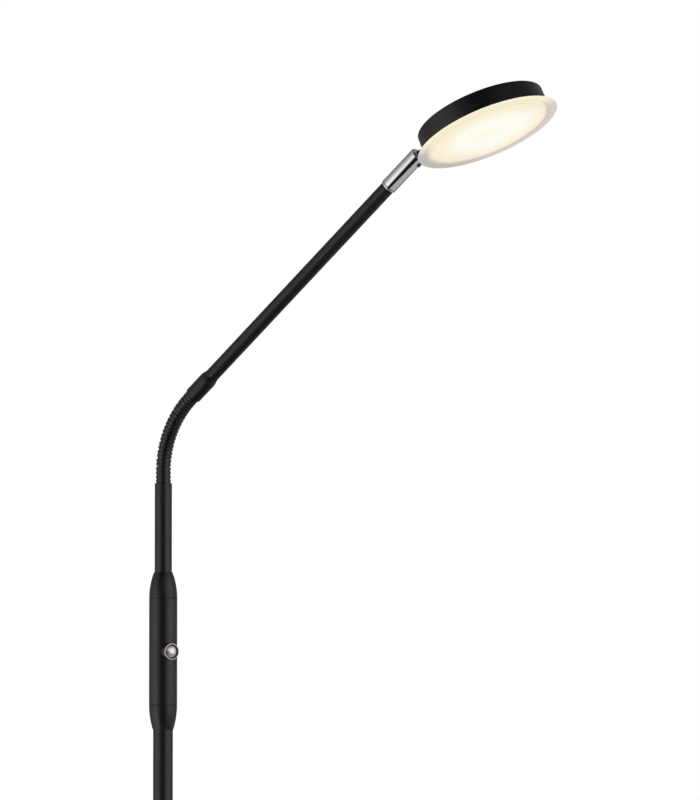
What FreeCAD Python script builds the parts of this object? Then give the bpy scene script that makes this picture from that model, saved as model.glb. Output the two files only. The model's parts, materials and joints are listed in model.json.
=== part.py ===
import FreeCAD, Part
import Sketcher
import math
import os

# Task floor lamp. The frame's origin is the centre of the base's underside, +Z is up the pole,
# and the neck and arm lean towards +X, in the plane Y = 0. Lengths are in millimetres.

doc = FreeCAD.newDocument("task_floor_lamp")
sheet = doc.addObject("Spreadsheet::Sheet", "Sizes")
parts = []

SIZES = {
    # base
    "pad_inset": 6.0,
    "pad_thick": 2.0,
    "plate_thick": 1.5,
    "plate_hole_radius": 19.0,
    "base_radius": 120.0,
    "base_height": 20.0,
    "cover_wall": 1.2,
    "cover_edge": 5.0,
    "weight_inset": 12.0,
    "nut_well_radius": 18.0,
    "nut_well_depth": 7.5,
    "channel_width": 8.0,
    "channel_depth": 7.0,
    "grommet_radius": 3.8,
    "grommet_stand": 1.2,
    "cord_inlet_radius": 2.8,
    # fastening of the pole
    "thread_radius": 5.0,
    "thread_bore_radius": 3.4,
    "thread_length": 28.0,
    "washer_radius": 12.0,
    "washer_thick": 1.5,
    "nut_flats": 17.0,
    "nut_thick": 5.0,
    "insert_length": 16.0,
    # pole and grip
    "pole_radius": 9.85,
    "pole_wall": 1.2,
    "pole_shown": 760.7,
    "grip_radius": 14.0,
    "grip_wall": 1.5,
    "grip_length": 106.1,
    "low_cap_length": 25.0,
    "low_cap_lip": 0.34,
    "top_cap_length": 26.0,
    "top_cap_lip": 0.6,
    "spigot_length": 8.0,
    "board_lift": 2.5,
    # push button
    "button_turn": 24.0,
    "ring_radius": 8.3,
    "ring_wall": 2.2,
    "ring_stand": 3.5,
    "ring_back": 9.9,
    "ring_edge": 0.6,
    "button_gap": 0.15,
    "button_sunk": 0.5,
    "button_rise": 1.0,
    "button_skirt": 3.4,
    "stem_radius": 2.0,
    "stem_length": 2.3,
    "switch_width": 12.0,
    "switch_length": 13.0,
    # driver board
    "board_width": 22.0,
    "board_length": 34.0,
    "board_thick": 1.6,
    "coil_width": 12.0,
    "coil_height": 7.0,
    "coil_length": 12.0,
    "can_radius": 3.5,
    "can_length": 9.0,
    # upper tube
    "tube_radius": 8.6,
    "tube_wall": 1.15,
    "tube_shown": 88.8,
    "grub_drop": 3.2,
    "grub_radius": 1.3,
    "grub_sunk": 0.5,
    "grub_seat_depth": 1.0,
    "grub_turn": 100.0,
    # gooseneck
    "rib_pitch": 4.083,
    "rib_radius": 7.15,
    "rib_gap": 1.233,
    "root_radius": 6.1,
    "nose_reach": 1.2,
    "nose_radius": 5.4,
    "socket_radius": 5.9,
    "socket_depth": 2.2,
    "neck_bend": 49.7,
    "neck_bore_radius": 2.8,
    "plug_length": 22.0,
    "top_plug_length": 9.0,
    # arm
    "collar_radius": 8.55,
    "collar_length": 24.2,
    "shoulder_length": 6.4,
    "shoulder_lip": 0.25,
    "arm_radius": 7.05,
    "arm_wall": 1.0,
    "arm_reach": 302.5,
    "spindle_plug": 20.0,
    "spindle_radius": 3.5,
    "spindle_bore_radius": 1.6,
    "spindle_head_radius": 5.6,
    "spindle_head_thick": 1.2,
    # knuckle
    "knuckle_radius": 7.9,
    "knuckle_ring_length": 1.75,
    "knuckle_seam": 0.3,
    "knuckle_length": 44.5,
    "knuckle_end_edge": 2.0,
    "knuckle_end_drop": 1.2,
    "knuckle_land": 10.0,
    "knuckle_well_radius": 6.3,
    "pin_back": 7.25,
    "pin_radius": 2.0,
    "pin_sunk": 0.3,
    "slot_width": 4.1,
    "slot_back": 10.2,
    "friction_radius": 5.2,
    "friction_thick": 0.5,
    # head
    "head_tilt": 24.9,
    "hinge_reach": 19.1,
    "hinge_height": 16.4,
    "tongue_thick": 3.0,
    "eye_radius": 7.4,
    "heel_reach": 9.3,
    "heel_width": 4.6,
    "tongue_drop": 10.0,
    "tongue_rise": 3.4,
    "foot_width": 11.0,
    "foot_thick": 2.4,
    "drum_radius": 63.6,
    "drum_taper": 0.4,
    "drum_edge": 1.0,
    "drum_wall": 2.0,
    "drum_back": 2.4,
    "head_thick": 21.3,
    "flange_reach": 8.0,
    "glass_thick": 1.0,
    "lip_depth": 0.3,
    "lip_width": 4.0,
    "seat_length": 2.0,
    "led_board_inset": 6.6,
    "led_board_thick": 1.6,
    "chip_width": 2.8,
    "chip_thick": 0.8,
    "reflector_wall": 1.2,
    "reflector_foot_inset": 3.0,
    # shared fits
    "fit": 0.05,
    "loose_fit": 0.3,
    "overrun": 5.0,
}

for row, (name, value) in enumerate(SIZES.items(), start=1):
    sheet.set("A%d" % row, name)
    sheet.set("B%d" % row, str(value))
    sheet.setAlias("B%d" % row, name)
doc.recompute()

# counts and shares of sizes
LINK_RIBS = 2
FOOT_RIBS = 3
LINK_COUNT = 10
INNER_CHIPS = 8
OUTER_CHIPS = 18
INNER_CIRCLE_SHARE = 0.4
OUTER_CIRCLE_SHARE = 0.78
SHANK_SHARE = 0.85
CAP_BREAK_SHARE = 0.55
CAP_DROP_SHARE = 0.3
DOME_SHARE = 0.55
RIB_MIDDLE_SHARE = 0.5


class Dim:
    """A length with its number and the sheet's expression for it."""

    def __init__(self, value, text):
        self.value = value
        self.text = text

    def __add__(self, other):
        return Dim(self.value + number(other), "(%s + %s)" % (self.text, words(other)))

    def __radd__(self, other):
        return self if number(other) == 0 else Dim(number(other), words(other)) + self

    def __sub__(self, other):
        return Dim(self.value - number(other), "(%s - %s)" % (self.text, words(other)))

    def __mul__(self, other):
        return Dim(self.value * number(other), "(%s * %s)" % (self.text, words(other)))

    def __truediv__(self, other):
        return Dim(self.value / number(other), "(%s / %s)" % (self.text, words(other)))

    def __float__(self):
        return float(self.value)


def number(length):
    """The number of a length, a share or a zero."""
    return length.value if isinstance(length, Dim) else length


def words(length):
    """The sheet's expression of a length, a share or a zero."""
    return length.text if isinstance(length, Dim) else "%r" % length


def size(name):
    """A driving dimension by its name in the sheet."""
    return Dim(float(sheet.get(name)), "Sizes.%s" % name)


def plane_of(body, role):
    """One of a body's own origin planes."""
    return next(plane for plane in body.Origin.OriginFeatures if plane.Role == role)


def sketch_on(body, role, name):
    """A new sketch on one of the body's own planes."""
    sketch = body.newObject("Sketcher::SketchObject", name)
    sketch.AttachmentSupport = (plane_of(body, role), [""])
    sketch.MapMode = "FlatFace"
    return sketch


def pin_point(sketch, geometry, place, corner):
    """Tie a corner to the origin by its two sizes."""
    for kind, axis, length in (("DistanceX", -2, corner[0]), ("DistanceY", -1, corner[1])):
        if number(length) == 0:
            sketch.addConstraint(Sketcher.Constraint("PointOnObject", geometry, place, axis))
        else:
            made = Sketcher.Constraint(kind, -1, 1, geometry, place, number(length))
            index = sketch.addConstraint(made)
            sketch.setExpression("Constraints[%d]" % index, words(length))


def draw_outline(sketch, corners):
    """Close an outline of corners with straight sides."""
    points = [FreeCAD.Vector(number(x), number(y), 0) for x, y in corners]
    sides = []
    for index, start in enumerate(points):
        line = Part.LineSegment(start, points[(index + 1) % len(points)])
        sides.append(sketch.addGeometry(line, False))
    for index, side in enumerate(sides):
        following = sides[(index + 1) % len(sides)]
        sketch.addConstraint(Sketcher.Constraint("Coincident", side, 2, following, 1))
        pin_point(sketch, side, 1, corners[index])


def turned(label, outline, height=None):
    """A turned piece: its outline, in radius and height, goes round the Z axis."""
    body = doc.addObject("PartDesign::Body", label)
    body.Label = label
    sketch = sketch_on(body, "XZ_Plane", label + "_outline")
    draw_outline(sketch, outline)
    round_form = body.newObject("PartDesign::Revolution", label + "_turned")
    round_form.Profile = sketch
    round_form.ReferenceAxis = (sketch, ["V_Axis"])
    round_form.Angle = 360
    body.Tip = round_form
    if height is not None:
        body.setExpression("Placement.Base.z", words(height))
    parts.append(body)
    return body


def box_outline(inner, outer, length):
    """The outline of a plain tube or disc."""
    return [(inner, 0), (outer, 0), (outer, length), (inner, length)]


def made(label, shape, placement=None):
    """A piece whose form follows an angle or a count, set as a shape."""
    feature = doc.addObject("Part::Feature", label)
    feature.Label = label
    feature.Shape = shape
    if placement is not None:
        feature.Placement = placement
    parts.append(feature)
    return feature


def along_z(distance):
    return FreeCAD.Placement(FreeCAD.Vector(0, 0, float(distance)), FreeCAD.Rotation())


def turn_z(degrees):
    return FreeCAD.Placement(FreeCAD.Vector(0, 0, 0), FreeCAD.Rotation(FreeCAD.Vector(0, 0, 1), degrees))


def cylinder(radius, length, start=(0, 0, 0), way=(0, 0, 1)):
    """A plain cylinder from a point along a way."""
    foot = FreeCAD.Vector(*map(float, start))
    return Part.makeCylinder(float(radius), float(length), foot, FreeCAD.Vector(*way))


def block(low, high):
    """A box between two corners."""
    low, high = [float(v) for v in low], [float(v) for v in high]
    return Part.makeBox(*(b - a for a, b in zip(low, high)), FreeCAD.Vector(*low))


# heights up the pole
pad_top = size("pad_thick")
plate_top = pad_top + size("plate_thick")
cover_top = size("base_height")
cover_under = cover_top - size("cover_wall")
low_lip = cover_top + size("pole_shown")
low_seam = low_lip + size("low_cap_length")
top_seam = low_seam + size("grip_length")
top_lip = top_seam + size("top_cap_length")
mouth = top_lip + size("tube_shown")
button_height = low_seam + size("grip_length") / 2


def place(x, z, degrees):
    """A placement in the plane of the neck and arm, leaned towards +X by an angle."""
    lean = FreeCAD.Rotation(FreeCAD.Vector(0, 1, 0), degrees)
    return FreeCAD.Placement(FreeCAD.Vector(float(x), 0, float(z)), lean)


def cut_away(label, base, room):
    """A piece with its room for others cut away; the volume shows that it cut."""
    parts.remove(base)
    base.Label = label + "_blank"
    tool = doc.addObject("Part::Feature", label + "_room")
    tool.Shape = room
    piece = doc.addObject("Part::Cut", label)
    piece.Label = label
    piece.Base = base
    piece.Tool = tool
    doc.recompute()
    if piece.Shape.Volume >= base.Shape.Volume:
        raise RuntimeError("%s: nothing was cut" % label)
    parts.append(piece)
    return piece


# base: pad, plate, weight and cover
overrun = size("overrun")
fit = size("fit")
turned("floor_pad", box_outline(0, size("base_radius") - size("pad_inset"), size("pad_thick")))


def round_about(shape, circle, count, height):
    """Copies of a shape spread evenly on a circle at a height."""
    copies = []
    for index in range(count):
        spot = FreeCAD.Placement(FreeCAD.Vector(float(circle), 0, float(height)), FreeCAD.Rotation())
        copy = shape.copy()
        copy.Placement = turn_z(360 * index / count).multiply(spot)
        copies.append(copy)
    return copies


plate_radius = size("base_radius") - size("cover_wall") - size("loose_fit")
turned(
    "bottom_plate",
    box_outline(size("plate_hole_radius"), plate_radius, size("plate_thick")),
    pad_top,
)

weight_radius = size("base_radius") - size("weight_inset")
weight_tall = cover_under - plate_top
weight_bore = size("thread_radius") + size("loose_fit")
base_weight = turned(
    "base_weight",
    [
        (size("nut_well_radius"), 0),
        (weight_radius, 0),
        (weight_radius, weight_tall),
        (weight_bore, weight_tall),
        (weight_bore, size("nut_well_depth")),
        (size("nut_well_radius"), size("nut_well_depth")),
    ],
    plate_top,
)
half_channel = size("channel_width") / 2
cord_channel = block(
    (0 - float(weight_radius + overrun), 0 - float(half_channel), plate_top),
    (0, half_channel, plate_top + size("channel_depth")),
)
cut_away("base_weight", base_weight, cord_channel)

cover_bore = size("thread_radius") + fit
cover_tall = cover_top - pad_top
cover_wall = size("cover_wall")
cover_edge = size("cover_edge")
base_cover = turned(
    "base_cover",
    [
        (size("base_radius") - cover_wall, 0),
        (size("base_radius"), 0),
        (size("base_radius"), cover_tall - cover_edge),
        (size("base_radius") - cover_edge, cover_tall),
        (cover_bore, cover_tall),
        (cover_bore, cover_tall - cover_wall),
        (size("base_radius") - cover_edge, cover_tall - cover_wall),
        (size("base_radius") - cover_wall, cover_tall - cover_edge),
    ],
    pad_top,
)

# the cord inlet: a rubber bush through the cover's rim, behind the pole
bush_radius = size("grommet_radius")
bush_back = 0 - float(size("base_radius") + size("grommet_stand"))
bush_length = cover_wall + size("grommet_stand") * 2
bush_height = plate_top + size("loose_fit") + bush_radius


def bush(radius, length):
    """A cylinder through the cover's rim at the cord inlet."""
    return cylinder(radius, length, (bush_back, 0, bush_height), (1, 0, 0))


cut_away("base_cover", base_cover, bush(bush_radius + fit, bush_length + overrun))
made("cord_grommet", bush(bush_radius, bush_length).cut(bush(size("cord_inlet_radius"), bush_length)))

# fastening of the pole: stud, washer and nut under the weight
well_top = plate_top + size("nut_well_depth")
washer_low = well_top - size("washer_thick")
nut_low = washer_low - size("nut_thick")
stud_low = nut_low - size("loose_fit")
turned(
    "pole_stud",
    box_outline(size("thread_bore_radius"), size("thread_radius"), size("thread_length")),
    stud_low,
)
turned(
    "pole_washer",
    box_outline(size("thread_radius") + fit, size("washer_radius"), size("washer_thick")),
    washer_low,
)

nut = doc.addObject("Part::Prism", "pole_nut_blank")
nut.Polygon = 6
nut.setExpression("Circumradius", "%s / sqrt(3)" % words(size("nut_flats")))
nut.setExpression("Height", words(size("nut_thick")))
nut.setExpression("Placement.Base.z", words(nut_low))
parts.append(nut)
cut_away("pole_nut", nut, cylinder(size("thread_radius") + fit, cover_top))

# pole, grip and the caps that carry it
turned(
    "pole_insert",
    box_outline(
        size("thread_radius") + fit,
        size("pole_radius") - size("pole_wall") - fit,
        size("insert_length"),
    ),
    cover_top,
)
spigot = size("spigot_length")
pole_end = low_seam + spigot
turned(
    "lower_pole",
    box_outline(size("pole_radius") - size("pole_wall"), size("pole_radius"), pole_end - cover_top),
    cover_top,
)
sleeve_bore = size("grip_radius") - size("grip_wall")
spigot_radius = sleeve_bore - fit


def grip_cap(label, tube_radius, lip, length, seam_height, upwards):
    """A cap that narrows from the grip to a tube, with a spigot inside the grip."""
    drop = size("grip_radius") - tube_radius - lip
    outline = [
        (tube_radius + fit, 0),
        (spigot_radius, 0),
        (spigot_radius, spigot),
        (size("grip_radius"), spigot),
        (size("grip_radius") - drop * CAP_DROP_SHARE, spigot + length * CAP_BREAK_SHARE),
        (tube_radius + lip, spigot + length),
        (tube_radius + fit, spigot + length),
    ]
    cap = turned(label, outline)
    half_turn = FreeCAD.Rotation(FreeCAD.Vector(1, 0, 0), 0 if upwards else 180)
    start = seam_height - spigot if upwards else seam_height + spigot
    cap.Placement = FreeCAD.Placement(FreeCAD.Vector(0, 0, float(start)), half_turn)


grip_cap(
    "grip_lower_cap",
    size("pole_radius"),
    size("low_cap_lip"),
    size("low_cap_length"),
    low_seam,
    False,
)
grip_cap(
    "grip_upper_cap",
    size("tube_radius"),
    size("top_cap_lip"),
    size("top_cap_length"),
    top_seam,
    True,
)

grip_sleeve = turned(
    "grip_sleeve",
    box_outline(sleeve_bore, size("grip_radius"), size("grip_length")),
    low_seam,
)


# push button: everything here is turned about its own axis, which leaves the pole's axis squarely
def facing(reach):
    """The place on the button's axis at a reach from the pole's axis."""
    outwards = FreeCAD.Rotation(FreeCAD.Vector(0, 1, 0), 90)
    step = FreeCAD.Placement(FreeCAD.Vector(float(reach), 0, float(button_height)), outwards)
    return turn_z(0 - float(size("button_turn"))).multiply(step)


ring_hole = cylinder(size("ring_radius") + fit, size("grip_radius") + overrun)
ring_hole.Placement = facing(0)
cut_away("grip_sleeve", grip_sleeve, ring_hole)

ring_face = size("grip_radius") + size("ring_stand")
ring_tall = ring_face - size("ring_back")
ring_bore = size("ring_radius") - size("ring_wall")
ring_edge = size("ring_edge")
button_ring = turned(
    "button_ring",
    [
        (ring_bore, 0),
        (size("ring_radius"), 0),
        (size("ring_radius"), ring_tall - ring_edge),
        (size("ring_radius") - ring_edge, ring_tall),
        (ring_bore, ring_tall),
    ],
)
button_ring.Placement = facing(size("ring_back"))

button_radius = ring_bore - size("button_gap")
skirt = size("button_skirt")
stem = size("stem_length")
push_button = turned(
    "push_button",
    [
        (0, 0),
        (size("stem_radius"), 0),
        (size("stem_radius"), stem),
        (button_radius, stem),
        (button_radius, stem + skirt),
        (button_radius * DOME_SHARE, stem + skirt + size("button_rise")),
        (0, stem + skirt + size("button_rise")),
    ],
)
push_button.Placement = facing(ring_face - size("button_sunk") - skirt - stem)

half_switch = size("switch_width") / 2
switch_block = block(
    (0 - float(half_switch), 0 - float(half_switch), 0),
    (half_switch, half_switch, size("switch_length")),
)
made("switch_body", switch_block, facing(size("ring_back") - size("switch_length")))

# driver board, standing on the lower cap's spigot inside the grip
board_low = pole_end
half_board = size("board_width") / 2
half_thick = size("board_thick") / 2
board = block(
    (0 - float(half_board), 0 - float(half_thick), board_low),
    (half_board, half_thick, board_low + size("board_length")),
)
half_coil = size("coil_width") / 2
coil_low = board_low + size("board_lift")
coil_block = block(
    (0 - float(half_coil), half_thick, coil_low),
    (half_coil, half_thick + size("coil_height"), coil_low + size("coil_length")),
)
can_low = board_low + size("board_length") - size("can_length") - size("board_lift")
can = cylinder(size("can_radius"), size("can_length"), (0, half_thick + size("can_radius"), can_low))
can_foot = block(
    (0 - float(size("can_radius")), half_thick, can_low),
    (size("can_radius"), half_thick + size("can_radius"), can_low + size("can_length")),
)
made("driver_board", board.fuse([coil_block, can, can_foot]))

# upper tube, with its set screw below the mouth
tube_low = top_seam - spigot
tube_tall = mouth - tube_low
tube_bore = size("tube_radius") - size("tube_wall")
upper_tube = turned("upper_tube", box_outline(tube_bore, size("tube_radius"), tube_tall), tube_low)
grub_height = mouth - size("grub_drop")


def grub(radius, inner, outer):
    """A cylinder across the tube's wall, at the set screw."""
    body = cylinder(radius, outer - inner)
    outwards = FreeCAD.Rotation(FreeCAD.Vector(0, 1, 0), 90)
    step = FreeCAD.Placement(FreeCAD.Vector(float(inner), 0, float(grub_height)), outwards)
    body.Placement = turn_z(0 - float(size("grub_turn"))).multiply(step)
    return body


plug_radius = tube_bore - fit
grub_seat = plug_radius - size("grub_seat_depth")
grub_top = size("tube_radius") - size("grub_sunk")
cut_away("upper_tube", upper_tube, grub(size("grub_radius") + fit, grub_seat, grub_top + overrun))
made("tube_set_screw", grub(size("grub_radius"), grub_seat, grub_top))

# gooseneck: ribs on an arc, two to a link, each link with a socket below and a nose above
pitch = float(size("rib_pitch"))
straight = FOOT_RIBS * pitch
bend_length = LINK_COUNT * LINK_RIBS * pitch
bend_angle = math.radians(float(size("neck_bend")))
bend_radius = bend_length / bend_angle
half_gap = float(size("rib_gap")) / 2


def on_neck(distance):
    """The placement of the neck's centre line at a distance from the tube's mouth."""
    turn = min(max((distance - straight) / bend_radius, 0), bend_angle)
    rest = distance - straight - turn * bend_radius
    x = bend_radius * (1 - math.cos(turn)) + rest * math.sin(turn)
    z = float(mouth) + straight + bend_radius * math.sin(turn) + rest * math.cos(turn)
    return place(x, z, math.degrees(turn))


def bar(radius, low, high):
    """A round bar along the chord between two distances on the neck's centre line."""
    start, end = on_neck(low).Base, on_neck(high).Base
    return Part.makeCylinder(float(radius), (end - start).Length, start, end - start)


def ribs(first, last):
    """The ribs from first to last and the bars that join their middles."""
    middles = [(index - RIB_MIDDLE_SHARE) * pitch for index in range(first, last + 1)]
    rib_half = (pitch - float(size("rib_gap"))) / 2
    pieces = [bar(size("rib_radius"), middle - rib_half, middle + rib_half) for middle in middles]
    pieces += [bar(size("root_radius"), low, high) for low, high in zip(middles, middles[1:])]
    return pieces[0].fuse(pieces[1:])


def nose(high):
    """The spigot above a link's last rib."""
    return bar(size("nose_radius"), high - half_gap, high + half_gap * 2 + float(size("nose_reach")))


def socket(low):
    """The room for the nose below, in the underside of a rib."""
    return bar(size("socket_radius"), low - half_gap, low + float(size("socket_depth")))


def neck_hole(start, way):
    """The room for the wires, both ways from a point on the neck's centre line."""
    reach = float(size("plug_length")) + straight + bend_length
    half_way = FreeCAD.Vector(way).normalize() * reach
    return Part.makeCylinder(float(size("neck_bore_radius")), reach * 2, start - half_way, way)


foot_last = FOOT_RIBS + LINK_RIBS // 2
foot_plug = cylinder(plug_radius, size("plug_length"), (0, 0, mouth - size("plug_length")))
foot_root = bar(size("root_radius"), 0, pitch * RIB_MIDDLE_SHARE)
foot = ribs(1, foot_last).fuse([foot_plug, foot_root, nose(foot_last * pitch - half_gap)])
foot = foot.cut(neck_hole(on_neck(0).Base, FreeCAD.Vector(0, 0, 1)))
made("neck_foot", foot.cut(grub(size("grub_radius") + fit, grub_seat, grub_top)))

for link in range(1, LINK_COUNT):
    first = foot_last + LINK_RIBS * (link - 1) + 1
    last = first + LINK_RIBS - 1
    low, high = (first - 1) * pitch + half_gap, last * pitch - half_gap
    way = on_neck(high).Base - on_neck(low).Base
    piece = ribs(first, last).fuse(nose(high)).cut(socket(low))
    made("neck_link_%d" % link, piece.cut(neck_hole(on_neck(low).Base, way)))

top_first = foot_last + LINK_RIBS * (LINK_COUNT - 1) + 1
top_last = top_first + LINK_RIBS - 1
top_low = (top_first - 1) * pitch + half_gap
collar_face = on_neck(top_last * pitch)
top_plug = cylinder(size("arm_radius") - size("arm_wall") - fit, size("top_plug_length"))
top_plug.Placement = collar_face
top_root = bar(size("root_radius"), (top_last - RIB_MIDDLE_SHARE) * pitch, top_last * pitch)
top = ribs(top_first, top_last).fuse([top_plug, top_root]).cut(socket(top_low))
top_way = collar_face.Rotation.multVec(FreeCAD.Vector(0, 0, 1))
made("neck_top", top.cut(neck_hole(collar_face.Base, top_way)))


# arm: everything here is turned about the arm's axis, measured from the collar's lower face
def on_arm(distance):
    """The placement on the arm's axis at a distance from the collar's face."""
    return collar_face.multiply(along_z(distance))


shoulder_end = size("collar_length") + size("shoulder_length")
plug_bore = size("arm_radius") - size("arm_wall")
collar = turned(
    "arm_collar",
    [
        (size("arm_radius") + fit, 0),
        (size("collar_radius"), 0),
        (size("collar_radius"), size("collar_length")),
        (size("arm_radius") + size("shoulder_lip"), shoulder_end),
        (size("arm_radius") + fit, shoulder_end),
    ],
)
collar.Placement = on_arm(0)

arm_tube = turned("arm_tube", box_outline(plug_bore, size("arm_radius"), size("arm_reach")))
arm_tube.Placement = on_arm(0)

# the spindle in the arm's end, on which the knuckle turns, with a riveted head that holds it
ring_length = size("knuckle_ring_length")
knuckle_start = size("arm_reach") + ring_length + size("knuckle_seam")
spindle_plug = size("spindle_plug")
spindle_radius = size("spindle_radius")
head_low = spindle_plug + ring_length + size("knuckle_seam") + size("knuckle_land") + fit
head_high = head_low + size("spindle_head_thick")
spindle = turned(
    "arm_spindle",
    [
        (size("spindle_bore_radius"), 0),
        (plug_bore - fit, 0),
        (plug_bore - fit, spindle_plug),
        (spindle_radius, spindle_plug),
        (spindle_radius, head_low),
        (size("spindle_head_radius"), head_low),
        (size("spindle_head_radius"), head_high),
        (size("spindle_bore_radius"), head_high),
    ],
)
spindle.Placement = on_arm(size("arm_reach") - spindle_plug)

knuckle_ring = turned(
    "knuckle_ring",
    box_outline(spindle_radius + fit, size("knuckle_radius"), ring_length),
)
knuckle_ring.Placement = on_arm(size("arm_reach"))

# knuckle: a barrel with a slot between two ears at its free end
knuckle_tall = size("knuckle_length")
slot_low = knuckle_tall - size("pin_back") - size("slot_back")
knuckle = turned(
    "knuckle",
    [
        (spindle_radius + fit, 0),
        (size("knuckle_radius"), 0),
        (size("knuckle_radius"), knuckle_tall - size("knuckle_end_edge")),
        (size("knuckle_radius") - size("knuckle_end_drop"), knuckle_tall),
        (0, knuckle_tall),
        (0, slot_low),
        (size("knuckle_well_radius"), slot_low),
        (size("knuckle_well_radius"), size("knuckle_land")),
        (spindle_radius + fit, size("knuckle_land")),
    ],
)
knuckle.Placement = on_arm(knuckle_start)
pin_reach = knuckle_start + knuckle_tall - size("pin_back")
half_slot = size("slot_width") / 2
slot_room = block(
    (0 - float(size("knuckle_radius") + overrun), 0 - float(half_slot), 0 - float(size("slot_back"))),
    (size("knuckle_radius") + overrun, half_slot, size("pin_back") + overrun),
)


def across_pin(radius, low, high):
    """A cylinder on the hinge pin's axis between two reaches along +Y."""
    return cylinder(radius, float(high) - float(low), (0, low, 0), (0, 1, 0))


pin_half = size("knuckle_radius") - size("pin_sunk")
wide = float(size("knuckle_radius") + overrun)
pin_room = across_pin(size("pin_radius") + fit, -wide, wide)
knuckle_room = slot_room.fuse(pin_room)
knuckle_room.Placement = on_arm(pin_reach)
cut_away("knuckle", knuckle, knuckle_room)
made("hinge_pin", across_pin(size("pin_radius"), 0 - float(pin_half), pin_half), on_arm(pin_reach))

washer_inner = half_slot - size("friction_thick")
washer = across_pin(size("friction_radius"), washer_inner, half_slot)
washer = washer.cut(across_pin(size("pin_radius") + fit, 0, half_slot))
other_washer = washer.mirror(FreeCAD.Vector(0, 0, 0), FreeCAD.Vector(0, 1, 0))
made("friction_washers", Part.makeCompound([washer, other_washer]), on_arm(pin_reach))

# head: everything here is measured from the centre of the glass, with +Z out of the drum's back
head_arm = size("drum_radius") + size("hinge_reach")
drum_back_radius = size("drum_radius") - size("drum_taper")
pin_spot = on_arm(pin_reach).Base
hinge_place = place(pin_spot.x, pin_spot.z, 0 - float(size("head_tilt")))
to_glass = FreeCAD.Vector(float(head_arm), 0, 0 - float(size("hinge_height")))
head_place = hinge_place.multiply(FreeCAD.Placement(to_glass, FreeCAD.Rotation()))


def on_head(height):
    """The placement on the head's axis at a height over the glass's front face."""
    return head_place.multiply(along_z(height))


glass_thick = size("glass_thick")
drum_tall = size("head_thick") - glass_thick
drum_inner = size("drum_radius") - size("drum_wall")
drum_edge = size("drum_edge")
drum = turned(
    "drum_housing",
    [
        (drum_inner, 0),
        (size("drum_radius"), 0),
        (drum_back_radius, drum_tall - drum_edge),
        (drum_back_radius - drum_edge, drum_tall),
        (0, drum_tall),
        (0, drum_tall - size("drum_back")),
        (drum_inner, drum_tall - size("drum_back")),
    ],
)
drum.Placement = on_head(glass_thick)

# tongue: an eye on the pin, a heel that shows under the barrel, and a foot against the drum
pin_x = 0 - float(head_arm)
pin_z = float(size("hinge_height"))
half_tongue = size("tongue_thick") / 2
foot_low = pin_z - float(size("tongue_drop"))
foot_high = pin_z + float(size("tongue_rise"))
foot_out = 0 - float(size("drum_radius") + size("foot_thick"))
eye = cylinder(size("eye_radius"), size("tongue_thick"), (pin_x, 0 - float(half_tongue), pin_z), (0, 1, 0))
shank_half = float(size("eye_radius")) * SHANK_SHARE
shank_corners = [
    (pin_x, pin_z + shank_half),
    (foot_out, foot_high),
    (foot_out, foot_low),
    (pin_x, pin_z - shank_half),
]
shank_points = [FreeCAD.Vector(x, 0 - float(half_tongue), z) for x, z in shank_corners]
shank_face = Part.Face(Part.makePolygon(shank_points + shank_points[:1]))
shank = shank_face.extrude(FreeCAD.Vector(0, float(size("tongue_thick")), 0))
half_heel = size("heel_width") / 2
heel = block(
    (0, 0 - float(half_tongue), 0 - float(half_heel)),
    (size("heel_reach"), half_tongue, half_heel),
)
heel.Placement = head_place.inverse().multiply(on_arm(pin_reach))
half_foot = size("foot_width") / 2
foot_block = block(
    (foot_out, 0 - float(half_foot), foot_low),
    (0 - float(drum_inner), half_foot, foot_high),
)
drum_cone = Part.makeCone(
    float(size("drum_radius")),
    float(drum_back_radius),
    float(drum_tall - drum_edge),
    FreeCAD.Vector(0, 0, float(glass_thick)),
)
drum_cap = cylinder(drum_back_radius, drum_edge, (0, 0, glass_thick + drum_tall - drum_edge))
pin_hole = cylinder(
    size("pin_radius") + fit,
    size("foot_width"),
    (pin_x, 0 - float(half_foot), pin_z),
    (0, 1, 0),
)
foot_solid = foot_block.cut(drum_cone).cut(drum_cap)
tongue = eye.fuse([shank, heel, foot_solid]).cut(pin_hole)
made("head_tongue", tongue, head_place)

# lights: a board on the drum's back, its chips and a reflector round it
led_board_radius = drum_inner - size("led_board_inset")
board_top = size("head_thick") - size("drum_back")
board_under = board_top - size("led_board_thick")
half_chip = size("chip_width") / 2
chip = block(
    (0 - float(half_chip), 0 - float(half_chip), 0 - float(size("chip_thick"))),
    (half_chip, half_chip, 0),
)
chips = round_about(chip, led_board_radius * INNER_CIRCLE_SHARE, INNER_CHIPS, board_under)
chips += round_about(chip, led_board_radius * OUTER_CIRCLE_SHARE, OUTER_CHIPS, board_under)
made("led_chips", Part.makeCompound(chips), head_place)

led_board = turned("led_board", box_outline(0, led_board_radius, size("led_board_thick")))
led_board.Placement = on_head(board_under)
reflector_rim = drum_inner - size("loose_fit")
reflector_low = glass_thick + size("seat_length")
reflector_tall = board_under - reflector_low
reflector_foot = led_board_radius - size("reflector_foot_inset")
reflector = turned(
    "reflector",
    [
        (reflector_rim - size("reflector_wall"), 0),
        (reflector_rim, 0),
        (reflector_foot, reflector_tall),
        (reflector_foot - size("reflector_wall"), reflector_tall),
    ],
)
reflector.Placement = on_head(reflector_low)

glass_radius = size("drum_radius") + size("flange_reach")
lip_radius = glass_radius - size("lip_width")
lip_depth = size("lip_depth")
diffuser = turned(
    "diffuser",
    [
        (0, 0),
        (lip_radius, 0),
        (lip_radius, lip_depth),
        (glass_radius, lip_depth),
        (glass_radius, glass_thick),
        (drum_inner - fit, glass_thick),
        (drum_inner - fit, reflector_low),
        (0, reflector_low),
    ],
)
diffuser.Placement = head_place

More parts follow.
